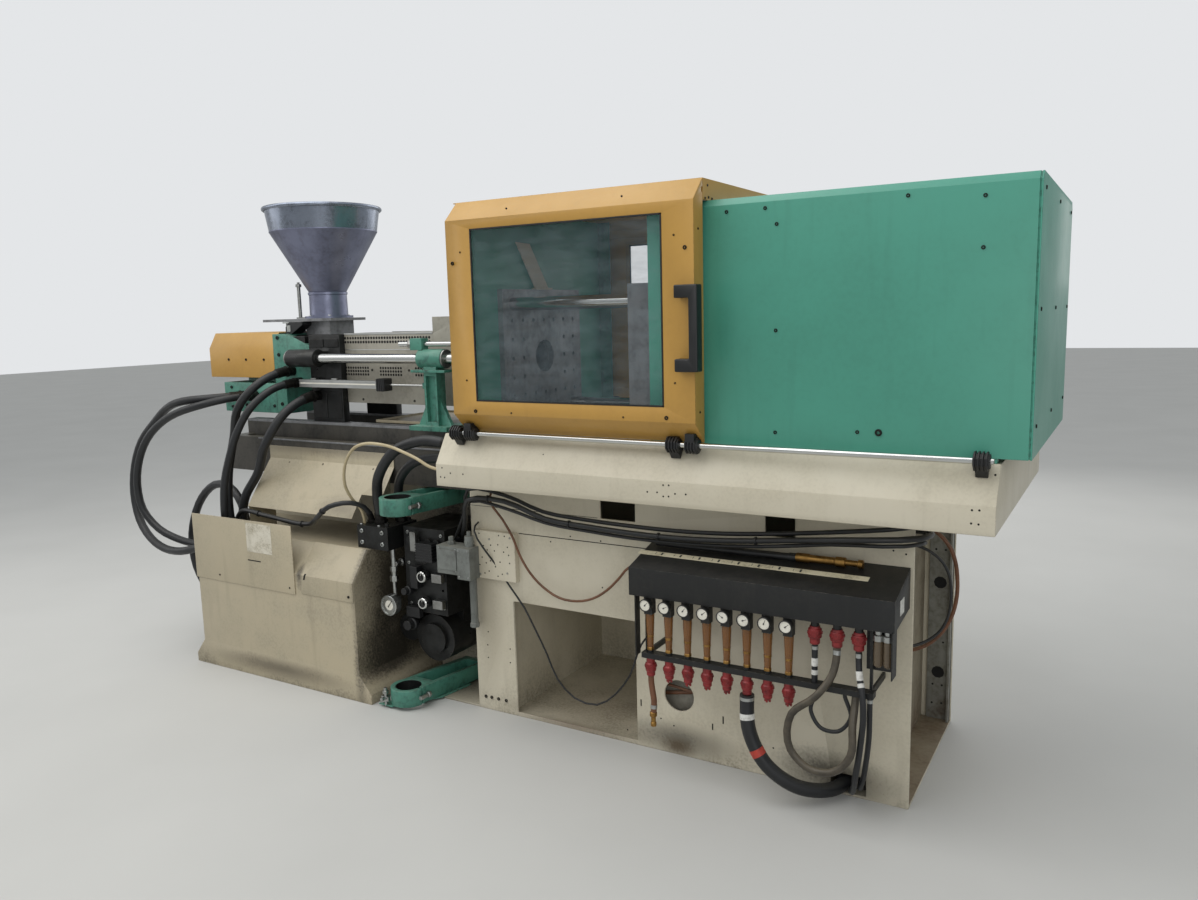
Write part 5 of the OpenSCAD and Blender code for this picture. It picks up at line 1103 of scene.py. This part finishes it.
# a dial's pointer: its tail and tip from the pivot, and their half widths
def addPointer(bm, pivot, angle, tail, tip):
    a = math.radians(angle)
    along, across = Vector((math.sin(a), 0, math.cos(a))), Vector((math.cos(a), 0, -math.sin(a)))
    pivot = Vector(pivot)
    bm.faces.new([bm.verts.new(p) for p in (
        pivot - along * tail[0] - across * tail[1], pivot - along * tail[0] + across * tail[1],
        pivot + along * tip[0] + across * tip[1], pivot + along * tip[0] - across * tip[1])])


# ticks over three quarters of a round dial, every fifth of them larger
def dialTicks(centre, radius, count, size, large):
    x, y, z = centre
    ticks = []
    for j in range(count):
        t = math.radians(-135 + 270 / (count - 1) * j)
        ticks.append(((x + radius * math.sin(t), y, z + radius * math.cos(t)), "front",
                      size if j % 5 else large))
    return ticks


def mirrored(bm, flip):
    if flip:
        bmesh.ops.scale(bm, vec=(1, -1, 1), verts=bm.verts)
    return bm


# Each small part has its own dictionary: finish, slot, softened edge and the shapes that make it.
def makeParts(parts, body="bed"):
    for name, part in parts.items():
        bm = bmesh.new()
        for addShape, *sizes in part["shapes"]:
            addShape(bm, *sizes)
        finishPiece(name, bm, part.get("body", body), finish[part["look"]], part.get("nodes", ()),
                    part.get("soft", 0.0), turn=part.get("turn", True))


# doors: the pane's material and its rubber
door = {"pane": (122, 827, 1214, 1782), "rubber": 5, "front": -553, "back": -548}
doorSides = (("door", "", False), ("rear_door", "rear_", True))


def dressDoor(body, prefix, flip):
    x0, x1, z0, z1 = door["pane"]
    w = door["rubber"]
    pane = cadNodes[prefix + "door_window"].data.materials
    pane.clear()
    pane.append(clear["tintedAcrylic"])
    bm = bmesh.new()
    for a, b, c, d in ((x0, z0, x1, z0 + w), (x0, z1 - w, x1, z1), (x0, z0, x0 + w, z1),
                       (x1 - w, z0, x1, z1)):
        addBlock(bm, (a, door["front"], b), (c, door["back"], d))
    finishPiece(body + "WindowRubber", mirrored(bm, flip), body, finish["mouldedBlack"],
                soft=0.6)


for body, prefix, flip in doorSides:
    dressDoor(body, prefix, flip)

# ribbed slide blocks on the door rails: moulded nylon, in pairs of bracket and runner
rail = {"y": -512, "z": 1097, "brackets": (-25, 814, 1690), "runners": (33, 872), "long": 54,
        "ribs": 4, "pitch": 10, "shoe": [(-498, 1112), (-523, 1086), (-497, 1051), (-473, 1083)]}


def addRibbed(bm, x):
    profile = [(0, 12), (0, 20)]
    for k in range(rail["ribs"]):
        at = 2 + rail["pitch"] * k
        profile += [(at, 22), (at, 27), (at + 5, 27), (at + 5, 22)]
    profile += [(42, 20), (42, 12)]
    addTurned(bm, (x + 4, rail["y"], rail["z"]), along, profile, 8, math.pi / 8)


def buildSlides():
    bm = bmesh.new()
    for x in rail["brackets"]:
        addRibbed(bm, x)
        addPrism(bm, 0, x + 8, x + rail["long"] - 14, rail["shoe"])
    other = bm.copy()
    for side, sheet in (("front", bm), ("back", mirrored(other, True))):
        finishPiece(side + "RailBrackets", sheet, "bed", finish["mouldedBlack"], ["rail_brackets"],
                    1.2)
    for body, prefix, flip in doorSides:
        node = prefix + "door_runners"
        bm = copyNode(node)
        low = [v for v in bm.verts if v.co.z < 1300]  # the upper shoe stays as it is
        bmesh.ops.delete(bm, geom=low, context="VERTS")
        made = bmesh.new()
        for x in rail["runners"]:
            addRibbed(made, x + 6)
            addBlock(made, (x + 14, -536, 1108), (x + 44, -500, 1134))
        mesh = bpy.data.meshes.new("blocks")
        mirrored(made, flip).to_mesh(mesh)
        made.free()
        bm.from_mesh(mesh)
        finishPiece(body + "Runners", bm, body, finish["mouldedBlack"], [node], 1.0)


buildSlides()

# hopper: spun sheet, darker where dust of the granules sticks
hopper = {"x": -1128, "base": 1506, "neck": 1622, "shoulder": 1882, "top": 1990, "flangeR": 105,
          "neckR": 82, "shoulderR": 231, "rimR": 246, "bead": 9, "sheet": 3}


def buildHopper():
    h = hopper
    place, t, neck, shoulder, top = (h["x"], 0, 0), h["sheet"], h["neck"], h["shoulder"], h["top"]
    neckR, shoulderR, rimR = h["neckR"], h["shoulderR"], h["rimR"]
    bead = [(top - h["bead"] + h["bead"] * math.sin(a), rimR + t + h["bead"] * math.cos(a))
            for a in (math.radians(v) for v in range(-70, 251, 32))]
    bm = bmesh.new()
    addLoop(bm, place, 2, [(shoulder, shoulderR)] + [
        (shoulder + (top - 14 - shoulder) * k / 3, shoulderR + (rimR - shoulderR) * k / 3)
        for k in (1, 2, 3)] + bead + [(top - 16, rimR - t), (shoulder, shoulderR - t)], 96)
    finishPiece("hopperBand", bm, "hopper_set", finish["hopperBand"], ["hopper"])
    bm = bmesh.new()
    addLoop(bm, place, 2, [
        (neck, neckR), (shoulder - 3, shoulderR - 1), (shoulder, shoulderR + 1.6),
        (shoulder + 4, shoulderR + 1.6), (shoulder + 5, shoulderR - t), (neck, neckR - t)], 96)
    addLoop(bm, place, 2, [
        (h["base"], h["flangeR"]), (h["base"] + 10, h["flangeR"]), (h["base"] + 10, neckR + 2),
        (neck, neckR), (neck, neckR - t), (h["base"], neckR - t)], 64)
    addLoop(bm, place, 2, [(neck - 14, neckR + 0.5), (neck - 12, neckR + 4), (neck - 2, neckR + 4),
                           (neck, neckR + 0.5), (neck - 7, neckR - 1)], 64)
    finishPiece("hopperCone", bm, "hopper_set", finish["hopperCone"], ["hopper"])


buildHopper()
makeParts({
    "hopperRod": {"body": "hopper_set", "look": "turnedSteel", "slot": "hopper_sheet", "shapes": [
        (addTurned, (-1240, -66, 1510), up, [(0, 8), (136, 8), (138, 13), (149, 13), (151, 6),
                                             (158, 6)], 16),
        (addPrism, 2, 1506.5, 1512.5, [(-1202, -62), (-1244, -86), (-1260, -60), (-1218, -34)])]},
    # swing-out switch under the slide plate
    "slideSwitch": {"look": "mouldedBlack", "slot": "black_plastic", "soft": 2.5, "shapes": [
        (addPrism, 1, -128, -72, [(-1274, 1441), (-1238, 1437), (-1165, 1478), (-1165, 1493),
                                  (-1250, 1493), (-1274, 1470)])]},
    "slideSwitchPlate": {"look": "zincPlate", "slot": "aluminium", "soft": 0.5, "shapes": [
        (addBlock, (-1262, -130, 1450), (-1240, -127, 1478)),
        (addBlock, (-1309, -112, 1487), (-1180, -60, 1493.5))]},
    # what sits on the carriage: edge trims of the guard, the travel sensor, the cast block's plates
    "guardEdges": {"look": "anodisedAluminium", "slot": "cream_paint", "soft": 0.8, "shapes": [
        (addBlock, (-890, -152, 1433), (-402, -144, 1439)),
        (addBlock, (-889, -150.8, 1368), (-402, -149.2, 1372)),
        (addBlock, (-890, 144, 1433), (-402, 152, 1439)),
        (addBlock, (-889, 149.2, 1368), (-402, 150.8, 1372))]},
    "transducerHead": {"look": "mouldedBlack", "slot": "aluminium", "soft": 1.5, "shapes": [
        (addBlock, (-642, -236, 1206), (-596, -188, 1254))] + [
        (addBlock, (x, -238, 1204), (x + 5, -186, 1256)) for x in range(-636, -605, 10)]},
    "transducerStrip": {"look": "dialEnamel", "slot": "aluminium", "shapes": [
        (addBlock, (-1090, -228.8, 1228.5), (-650, -227.6, 1233.5))]},
    "blockPlates": {"look": "oiledIron", "slot": "dark_iron", "soft": 2.0, "shapes": [
        (addBlock, (-1068, -184, 1382), (-985, -180, 1418)),
        (addBlock, (-1068, -184, 1078), (-985, -180, 1192)),
        (addBlock, (-978, -184, 1382), (-897, -180, 1418)),
        (addBlock, (-978, -184, 1078), (-897, -180, 1192)),
        (addTurned, (-1130, -180, 1338), out, [(0, 34), (10, 34), (14, 28), (30, 28)], 24),
        (addBlock, (-1226, -178, 1376), (-1100, -120, 1430))]},
    # locking collars on the guide columns
    "columnCollars": {
        "body": "bed", "look": "turnedSteel", "slot": "bright_steel", "soft": 0.8, "shapes": [
            (addTurned, (x, y, z), along, profile, count) for y in (-235, 235)
            for x, z, count, profile in (
                (-1140, 1338, 32, [(0, 33), (6, 37), (20, 37), (24, 31)]),
                (-270, 1338, 32, [(0, 36), (4, 38), (8, 36)]),
                (-452, 1395, 6, [(0, 14), (4, 17), (16, 17), (20, 14)]))]},
}, "injection_unit")

# crimped ends, ties and coloured bands on the hoses: lengths along each hose
crimps = {"hydraulic": {"bodies": ("injection_unit", "bed"), "long": 62, "thick": 3.2},
          "deck": {"bodies": ("bed", "bed"), "long": 46, "thick": 2.6}}
bands = {
    "whiteTape": [("cooling5", 58, 84), ("cooling5", 92, 104), ("cooling4", 42, 66),
                  ("cooling4", 78, 92), ("cooling1", 58, 76)],
    "redTape": [("cooling1", 168, 190)],
    "zincPlate": [("cooling0", 96, 108), ("cooling1", 6, 16), ("cooling2", 8, 22),
                  ("cooling5", 8, 20), ("cooling4", 6, 16), ("cooling6", 6, 16)],
    "mouldedBlack": [("bundle0", at, at + 6) for at in (420, 760, 1100, 1430)]
    + [("deck2", at, at + 5) for at in (260, 520, 700)]}
bandThickness = {"mouldedBlack": 3.2}  # cable ties stand out further than tape


def buildSleeves():
    for group, crimp in crimps.items():
        for last, body in enumerate(crimp["bodies"]):
            bm = bmesh.new()
            for i, (diameter, route) in enumerate(cordRoutes[group]):
                line = cordLines[f"{group}{i}"]
                line = line[::-1] if last else line
                radius = diameter * 500 + crimp["thick"]
                addSleeve(bm, line, 1, crimp["long"], radius)
                addSleeve(bm, line, 4, 16, radius + 4, 6)
            finishPiece(f"{group}Crimps{last + 1}", bm, body, finish["blackOxide"],
                        soft=0.8)
    for tint, cuts in bands.items():
        bm = bmesh.new()
        for name, begin, end in cuts:
            diameter = cordRoutes[name[:-1]][int(name[-1])][0]
            addSleeve(bm, cordLines[name], begin, end,
                      diameter * 500 + bandThickness.get(tint, 0.9))
        finishPiece(tint + "Bands", bm, "bed", finish[tint])


buildSleeves()

# cooling water battery: dials, flow tubes and red couplings in a row
battery = {"tubes": [743 + 65.6 * k for k in range(8)], "y": -506, "dialZ": 583, "tubeLow": 436,
           "inlets": (1280, 1345, 1407), "bowls": (1460, 1487), "bowlY": -500,
           "pointers": (40, 62, 35, 50, 300, 70, 20, 48), "hosed": (0, 5)}
# one turned shape each: height of its foot, profile and count of sides
batteryShapes = {
    "glass": (battery["tubeLow"], [(0, 10), (12, 10.5), (100, 14.5), (112, 14.5)], 24),
    "seat": (540, [(0, 13), (4, 14), (16, 14), (22, 11)], 24),
    "nut": (428, [(0, 12), (8, 12), (10, 10), (16, 10)], 8),
    "float": (470, [(0, 11), (2, 12), (9, 12), (11, 4)], 16),
    "bowl": (494, [(0, 7), (5, 12), (12, 13), (96, 13)], 24),
    "cap": (572, [(0, 15), (16, 15), (19, 11), (46, 11)], 24),
    "drain": (494, [(0, 3), (8, 3)], 12),
    "lowCoupling": (340, [(0, 11), (3, 14), (16, 14), (18, 17), (24, 18), (42, 18), (46, 14),
                          (62, 14)], 28),
    "highCoupling": (535, [(0, 12), (3, 15), (18, 15), (21, 19.6), (46, 19.6), (49, 16),
                           (55, 15)], 28)}


def standing(name, xs, y=battery["y"]):
    foot, profile, count = batteryShapes[name]
    return [(addTurned, (x, y, foot), up, profile, count) for x in xs]


def teethRound(x, z, radius, count, size):
    around = [2 * math.pi * j / count for j in range(count)]
    return [((x + radius * math.cos(a), battery["y"] + radius * math.sin(a), z),
             (math.cos(a), math.sin(a), 0), size) for a in around]


def onSlope(y, lift):  # height over the sloping lid of the battery
    return 698 + (y + 530) * 50 / 186 + lift


def slopePrism(x0, x1, y0, y1, low, high):
    return (addPrism, 0, x0, x1, [(y0, onSlope(y0, low)), (y0, onSlope(y0, high)),
                                  (y1, onSlope(y1, high)), (y1, onSlope(y1, low))])


def buildBattery():
    b = battery
    dials, ticks = {"batteryDials": [], "batteryDialRims": [], "batteryNeedles": []}, []
    for x, angle in zip(b["tubes"], b["pointers"]):
        centre = (x, -535, b["dialZ"])
        dials["batteryDials"] += [(addTurned, centre, out, [(0, 17.5), (5.2, 17.5)], 32)]
        dials["batteryDialRims"] += [
            (addLoop, centre, 1, [(0, 20), (-7, 20), (-7.6, 19), (-7.6, 17.4), (-4, 17), (0, 17)],
             32), (addTurned, (x, -540, b["dialZ"]), out, [(0, 2.2), (2.4, 2.2)], 12)]
        dials["batteryNeedles"] += [(addPointer, (x, -540.8, b["dialZ"]), angle, (4, 1.1),
                                     (13, 0.4))]
        ticks += dialTicks((x, -540.4, b["dialZ"]), 14, 11, 0.9, 0.9)
    makeParts({
        "batteryDials": {"look": "dialEnamel", "nodes": ["cooling_dials"], "slot": "dial_white",
                         "shapes": dials["batteryDials"]},
        "batteryDialRims": {"look": "mouldedBlack", "slot": "black_plastic",
                            "shapes": dials["batteryDialRims"]},
        "batteryNeedles": {"look": "dialInk", "slot": "black_plastic", "turn": False,
                           "shapes": dials["batteryNeedles"]}})
    growField("batteryTicks", "holes", ticks, "bed", Height=0.2)
    for name, material, shapes in (
            ("flowGlasses", clear["amberGlass"], standing("glass", b["tubes"])),
            ("filterBowls", clear["smokedBowl"], standing("bowl", b["bowls"], b["bowlY"]))):
        bm = bmesh.new()
        for addShape, *sizes in shapes:
            addShape(bm, *sizes)
        finishPiece(name, bm, "bed", material, ["flow_tubes"])
    makeParts({
        "filterCaps": {"look": "zincPlate", "slot": "bright_steel", "soft": 0.6,
                       "shapes": standing("cap", b["bowls"], b["bowlY"])},
        "flowSeats": {"look": "mouldedBlack", "slot": "black_plastic", "soft": 0.6,
                      "shapes": standing("seat", b["tubes"])
                      + standing("drain", b["bowls"], b["bowlY"])},
        "flowNuts": {"look": "brass", "slot": "amber", "soft": 0.6,
                     "shapes": standing("nut", b["tubes"]) + standing("float", b["tubes"])},
        "quickCouplings": {"look": "redCoupling", "nodes": ["hose_couplings"], "slot": "red",
                           "soft": 0.6, "shapes": standing("lowCoupling", b["tubes"])
                           + standing("highCoupling", b["inlets"])}})
    teeth = [tooth for x in b["tubes"] for tooth in teethRound(x, 373, 17.4, 18, 3.2)]
    teeth += [tooth for x in b["inlets"] for tooth in teethRound(x, 568, 18.8, 20, 3.6)]
    growField("couplingTeeth", "teeth", teeth, "bed")
    free = [x for i, x in enumerate(b["tubes"]) if i not in b["hosed"]]
    makeParts({
        "couplingJaws": {"look": "redCoupling", "slot": "red", "soft": 0.8, "shapes": [
            (addBlock, (x + dx - 3, -506 + dy - 3, 330), (x + dx + 3, -506 + dy + 3, 341))
            for x in free for dx, dy in ((-7, 0), (7, 0), (0, -7), (0, 7))]},
        "batteryStrip": {"look": "oldPlastic", "slot": "dial_white", "shapes": [
            slopePrism(672, 1414, -446, -424, 0.9, 2.3)]},
        "batteryStripMarks": {"look": "dialInk", "slot": "dial_white", "shapes": [
            slopePrism(x + x0, x + x1, y0, -428, 2.0, 2.7) for x in b["tubes"]
            for x0, x1, y0 in ((-12, -10.5, -440), (8, 14, -442))]},
        # a spare hose with its fitting lies on the lid
        "spareHose": {"look": "cableJacket", "slot": "rubber", "soft": 0.8, "shapes": [
            (addTurned, (712, -392, onSlope(-392, 15)), (1, 0.02, 0), [
                (0, 9), (60, 10), (300, 11), (448, 11), (448, 13), (470, 13)], 20)]},
        "spareHoseFitting": {"look": "brass", "slot": "amber", "soft": 0.8, "shapes": [
            (addTurned, (1182, -384, onSlope(-384, 15)), along, [
                (0, 12), (4, 14), (40, 14), (44, 12), (118, 12), (122, 15), (150, 15), (152, 9),
                (186, 9), (188, 13), (202, 13)], 20)]},
        # side posts of the frame and the bracket that carries the bowls
        "batteryPosts": {"look": "blackWrinkleCoat", "slot": "black_paint", "soft": 0.8, "shapes": [
            (addBlock, (700, -530, 408), (704, -500, 612)),
            (addBlock, (1424, -486, 478), (1506, -482, 612)),
            (addBlock, (1502, -530, 470), (1506, -482, 612))]},
        "batteryTag": {"look": "whiteTape", "slot": "dial_white", "shapes": [
            (addBlock, (1510, -470, 640), (1511.4, -424, 684))]}})


buildBattery()

# valve bay: gauge, knobs, coils and glands
gauge = (-456, -402, 380)
makeParts({
    "gaugeCase": {
        "look": "zincPlate", "nodes": ["pressure_gauge"], "slot": "bright_steel", "soft": 0.8,
        "shapes": [
            (addLoop, gauge, 1, [(0, 20), (0, 41), (-24, 42), (-30, 41), (-31, 39), (-31, 36),
                                 (-26, 36), (-26, 20)], 48),
            (addTurned, (-456, -390, 395), up, [(0, 8), (75, 8)], 16),
            (addTurned, (-456, -390, 470), up, [(0, 17), (22, 17), (22, 11), (40, 11), (40, 15),
                                                (60, 15), (60, 9), (128, 9)], 6),
            (addBlock, (-476, -402, 372), (-436, -378, 408))]},
    "gaugeFace": {"look": "dialEnamel", "slot": "dial_white", "shapes": [
        (addTurned, (-456, -426, 380), out, [(0, 36.5), (1.5, 36.5)], 48)]},
    "gaugeNeedle": {"look": "dialInk", "slot": "black_plastic", "turn": False, "shapes": [
        (addPointer, (-456, -429, 380), 38, (10, 2), (27, 0.7))]}})
growField("gaugeTicks", "holes", dialTicks((-456, -428, 380), 31, 21, 1.4, 2.6), "bed", Height=0.2)
for k, z in enumerate((504, 398)):
    makeParts({
        f"valveKnob{k + 1}Grip": {
            "look": "mouldedBlack", "nodes": [f"valve_knob_{k + 1}"], "slot": "black_plastic",
            "shapes": [(addTurned, (-312, -361, z), out, [(0, 15), (6, 21), (30, 22), (35, 20),
                                                          (35, 14), (33, 13)], 30)]},
        f"valveKnob{k + 1}Ring": {"look": "hardChrome", "slot": "bright_steel", "shapes": [
            (addLoop, (-312, -361, z), 1, [(-24, 22.3), (-34, 22.3), (-36.5, 20), (-36.5, 15.5),
                                           (-34, 15.5), (-24, 20)], 36),
            (addBlock, (-313.2, -397.4, z + 4), (-310.8, -395.6, z + 15))]},
    }, f"knob_{k + 1}")
makeParts({
    "valveEndPlates": {"look": "turnedSteel", "slot": "bright_steel", "soft": 1.2, "shapes": [
        (addBlock, (-270, -384, 485), (-222, -361, 519)),
        (addBlock, (-270, -384, 380), (-222, -361, 414)),
        (addBlock, (-368, -386, 600), (-340, -361, 676)),
        (addTurned, (-446, -320, 540), out, [(0, 17), (40, 17), (40, 11), (70, 11)], 6)]},
    "valveCoils": {"look": "mouldedBlack", "slot": "black_plastic", "soft": 1.8, "shapes": [
        (addBlock, (-330, -398, 566), (-250, -361, 640))] + [
        (addBlock, (-333, -400, z), (-247, -361, z + 4)) for z in range(570, 631, 12)] + [
        (addBlock, (-372, -392, 452), (-336, -361, 540)),
        (addTurned, (-390, -361, 440), out, [(0, 18), (30, 18), (34, 14), (52, 14)], 20),
        (addTurned, (-390, -361, 300), out, [(0, 26), (16, 26), (20, 20), (44, 20)], 24),
        (addBlock, (-408, -384, 330), (-340, -361, 372))]},
    "valveGlands": {"look": "greyCasting", "slot": "aluminium", "soft": 1.2, "shapes": [
        (addTurned, (-160, -385, 650), up, [(0, 15), (12, 15), (12, 11), (30, 11)], 6),
        (addTurned, (-75, -385, 662), up, [(0, 19), (10, 19), (12, 14), (26, 14), (28, 9),
                                           (46, 8)], 6),
        (addTurned, (-75, -372, 335), up, [(0, 18), (16, 18), (18, 15), (30, 15)], 8),
        (addBlock, (-200, -424, 560), (-110, -420, 638))]},
    # eye bolt that hangs from the lower clamp, and both clamp screws
    "clampBolts": {"look": "zincPlate", "slot": "bright_steel", "soft": 0.6, "shapes": [
        (addTurned, (-418, -515, 6), up, [(0, 4), (3, 6), (52, 6), (52, 12), (62, 12), (64, 7),
                                          (74, 7)], 12),
        (addBlock, (-436, -521, 28), (-400, -509, 46)),
        (addTurned, (-418, -540, 40), inwards, [(0, 7), (44, 7)], 16)] + [
        (addTurned, (-278, -474, z), inwards, [(0, 8), (3, 9), (42, 9), (44, 13), (54, 13)], 6)
        for z in (797, 47)]},
    # dark sheets lining the bores of both clamps: painted shade inside the bores
    "clampBores": {"look": "oiledIron", "slot": "dark_iron", "shapes": [
        (addLoop, (-355, -452, z), 2, [(0, 50.1), (64, 50.1), (64, 49.5), (0, 49.5)])
        for z in (765, 15)]},
    "clampStrap": {"look": "castTealEnamel", "slot": "arm_paint", "soft": 1.0, "shapes": [
        (addPrism, 2, 8, 13, [(-452, -520), (-384, -520), (-268, -360), (-246, -200),
                              (-300, -200), (-330, -340)])]}})

# sheet-metal details of the base, housing, deck and clamp end
makeParts({
    "terminalBox": {"look": "creamPowderCoat", "slot": "cream_paint", "soft": 2, "shapes": [
        (addBlock, (-64, -368, 529), (121, -343, 712))]},
    "endPost": {"look": "galvanised", "slot": "bed_paint", "soft": 1.0, "shapes": [
        (addBlock, (1436, 322, 10), (1516, 335, 893)),
        (addBlock, (1508, 300, 10), (1516, 335, 893))]}})
# holes in the end post, as discs of painted shade
growField("postHoles", "holes", spotsOn("front", 322, 8, [
    (1457, 139), (1456, 68), (1489, 71), (1489, 139), (1457, 300), (1489, 300), (1457, 640),
    (1489, 640)]) + spotsOn("front", 322, 44, [(1474, 187), (1474, 520)]), "bed")
# short slits in the wall: middle, height and length
slits = [(885, 128, 22), (923, 159, 26), (617, 159, 24)]
makeParts({
    "nicheLining": {"look": "brownPrimer", "slot": "cream_paint", "soft": 0.4, "shapes": [
        (addBlock, (1418, -334, 8), (1519, 334, 9.6)),
        (addBlock, (1416, 60, 10), (1418, 334, 893))]},
    # seams, slots and slits, all as thin strips of painted shade
    "sheetGapShade": {"look": "deepShadow", "slot": "black_plastic", "turn": False, "shapes": [
        (addBlock, (124, -344.4, 709), (680, -343, 712)),
        (addBlock, (-95, -344.4, 798), (460, -343, 799.6))] + [
        (addBlock, (x - 2.2, -344.5, z - tall / 2), (x + 2.2, -343, z + tall / 2))
        for x, z, tall in slits] + [
        (addBlock, (-1140, -532.7, 510), (-1061, -531, 514.5)),
        (addRibbon, [(-812, -531.6, 466), (-806, -531.8, 483.5), (-803, -508, 512.5),
                     (-808, -470, 561), (-815, -452, 584)], 9),
        (addBlock, (12, -527, 1163), (18, -480, 1820))]},
    "portLining": {"look": "guardEnamel", "slot": "cream_paint", "shapes": [
        (addBlock, (690, -296, 140), (850, -293, 290))]},
    "portPipes": {"look": "brownHose", "slot": "rubber", "shapes": [
        (addTurned, (690, -306, 196), (1, 0.05, 0.18), [(0, 7), (160, 7)], 14),
        (addTurned, (690, -316, 236), (1, 0, -0.12), [(0, 5), (160, 5)], 14)]},
    "paperRemains": {"look": "oldPaper", "slot": "cream_paint", "shapes": [
        (addBlock, (-1139, -532.45, 549), (-987, -531.5, 672))]},
    "bedEdges": {"look": "platenSteel", "slot": "bed_paint", "soft": 1.0, "shapes": [
        (addBlock, (-1310, -292.5, 986), (-110, -289, 992.6))] + [
        (addBlock, (-1480, y - 30.4, 1050), (-115, y + 30.4, 1060.4)) for y in (-175, 175)]},
    # strip that guides the mouldings down, inside the operator's window
    "mouldChute": {"look": "creamPowderCoat", "slot": "cream_paint", "soft": 0.8, "shapes": [
        (addPrism, 0, 19, 23, [(-150, 1767), (-60, 1764), (59, 1600), (-34, 1600)]),
        (addBlock, (14, -44, 1593), (35, 70, 1600))]},
    # lip of the mould wall behind the rear door
    "rearCurtain": {"look": "castTealEnamel", "slot": "teal_paint", "shapes": [
        (addBlock, (13, 468, 1090), (70, 471, 1876))]},
    # distributor block beside the moving platen
    "platenFittings": {
        "body": "platen", "look": "castTealEnamel", "slot": "teal_paint", "soft": 1.5, "shapes": [
            (addBlock, (706, -262, 1330), (756, -238, 1420)),
            (addTurned, (733, -262, 1395), out, [(0, 14), (10, 14), (10, 9), (26, 9)], 16)]},
    # rear service doors of the base: leaves, hinges and latches
    "rearLeaves": {"look": "creamPowderCoat", "slot": "cream_paint", "soft": 1.2, "shapes": [
        (addBlock, (720, 344, 96), (1400, 347, 830))] + [
        (addTurned, (708, 350, z), up, [(0, 6), (46, 6)], 12) for z in (180, 740)] + [
        (addBlock, (100, 344, 96), (620, 347, 830))]},
    "rearLatches": {"look": "zincPlate", "slot": "bright_steel", "soft": 0.5, "shapes": [
        shape for x in (1372, 596) for shape in (
            (addTurned, (x, 347, 470), inwards, [(0, 13), (5, 13), (7, 11)], 24),
            (addBlock, (x - 1.5, 353, 461), (x + 1.5, 355.4, 479)))]}})
print("small parts built")
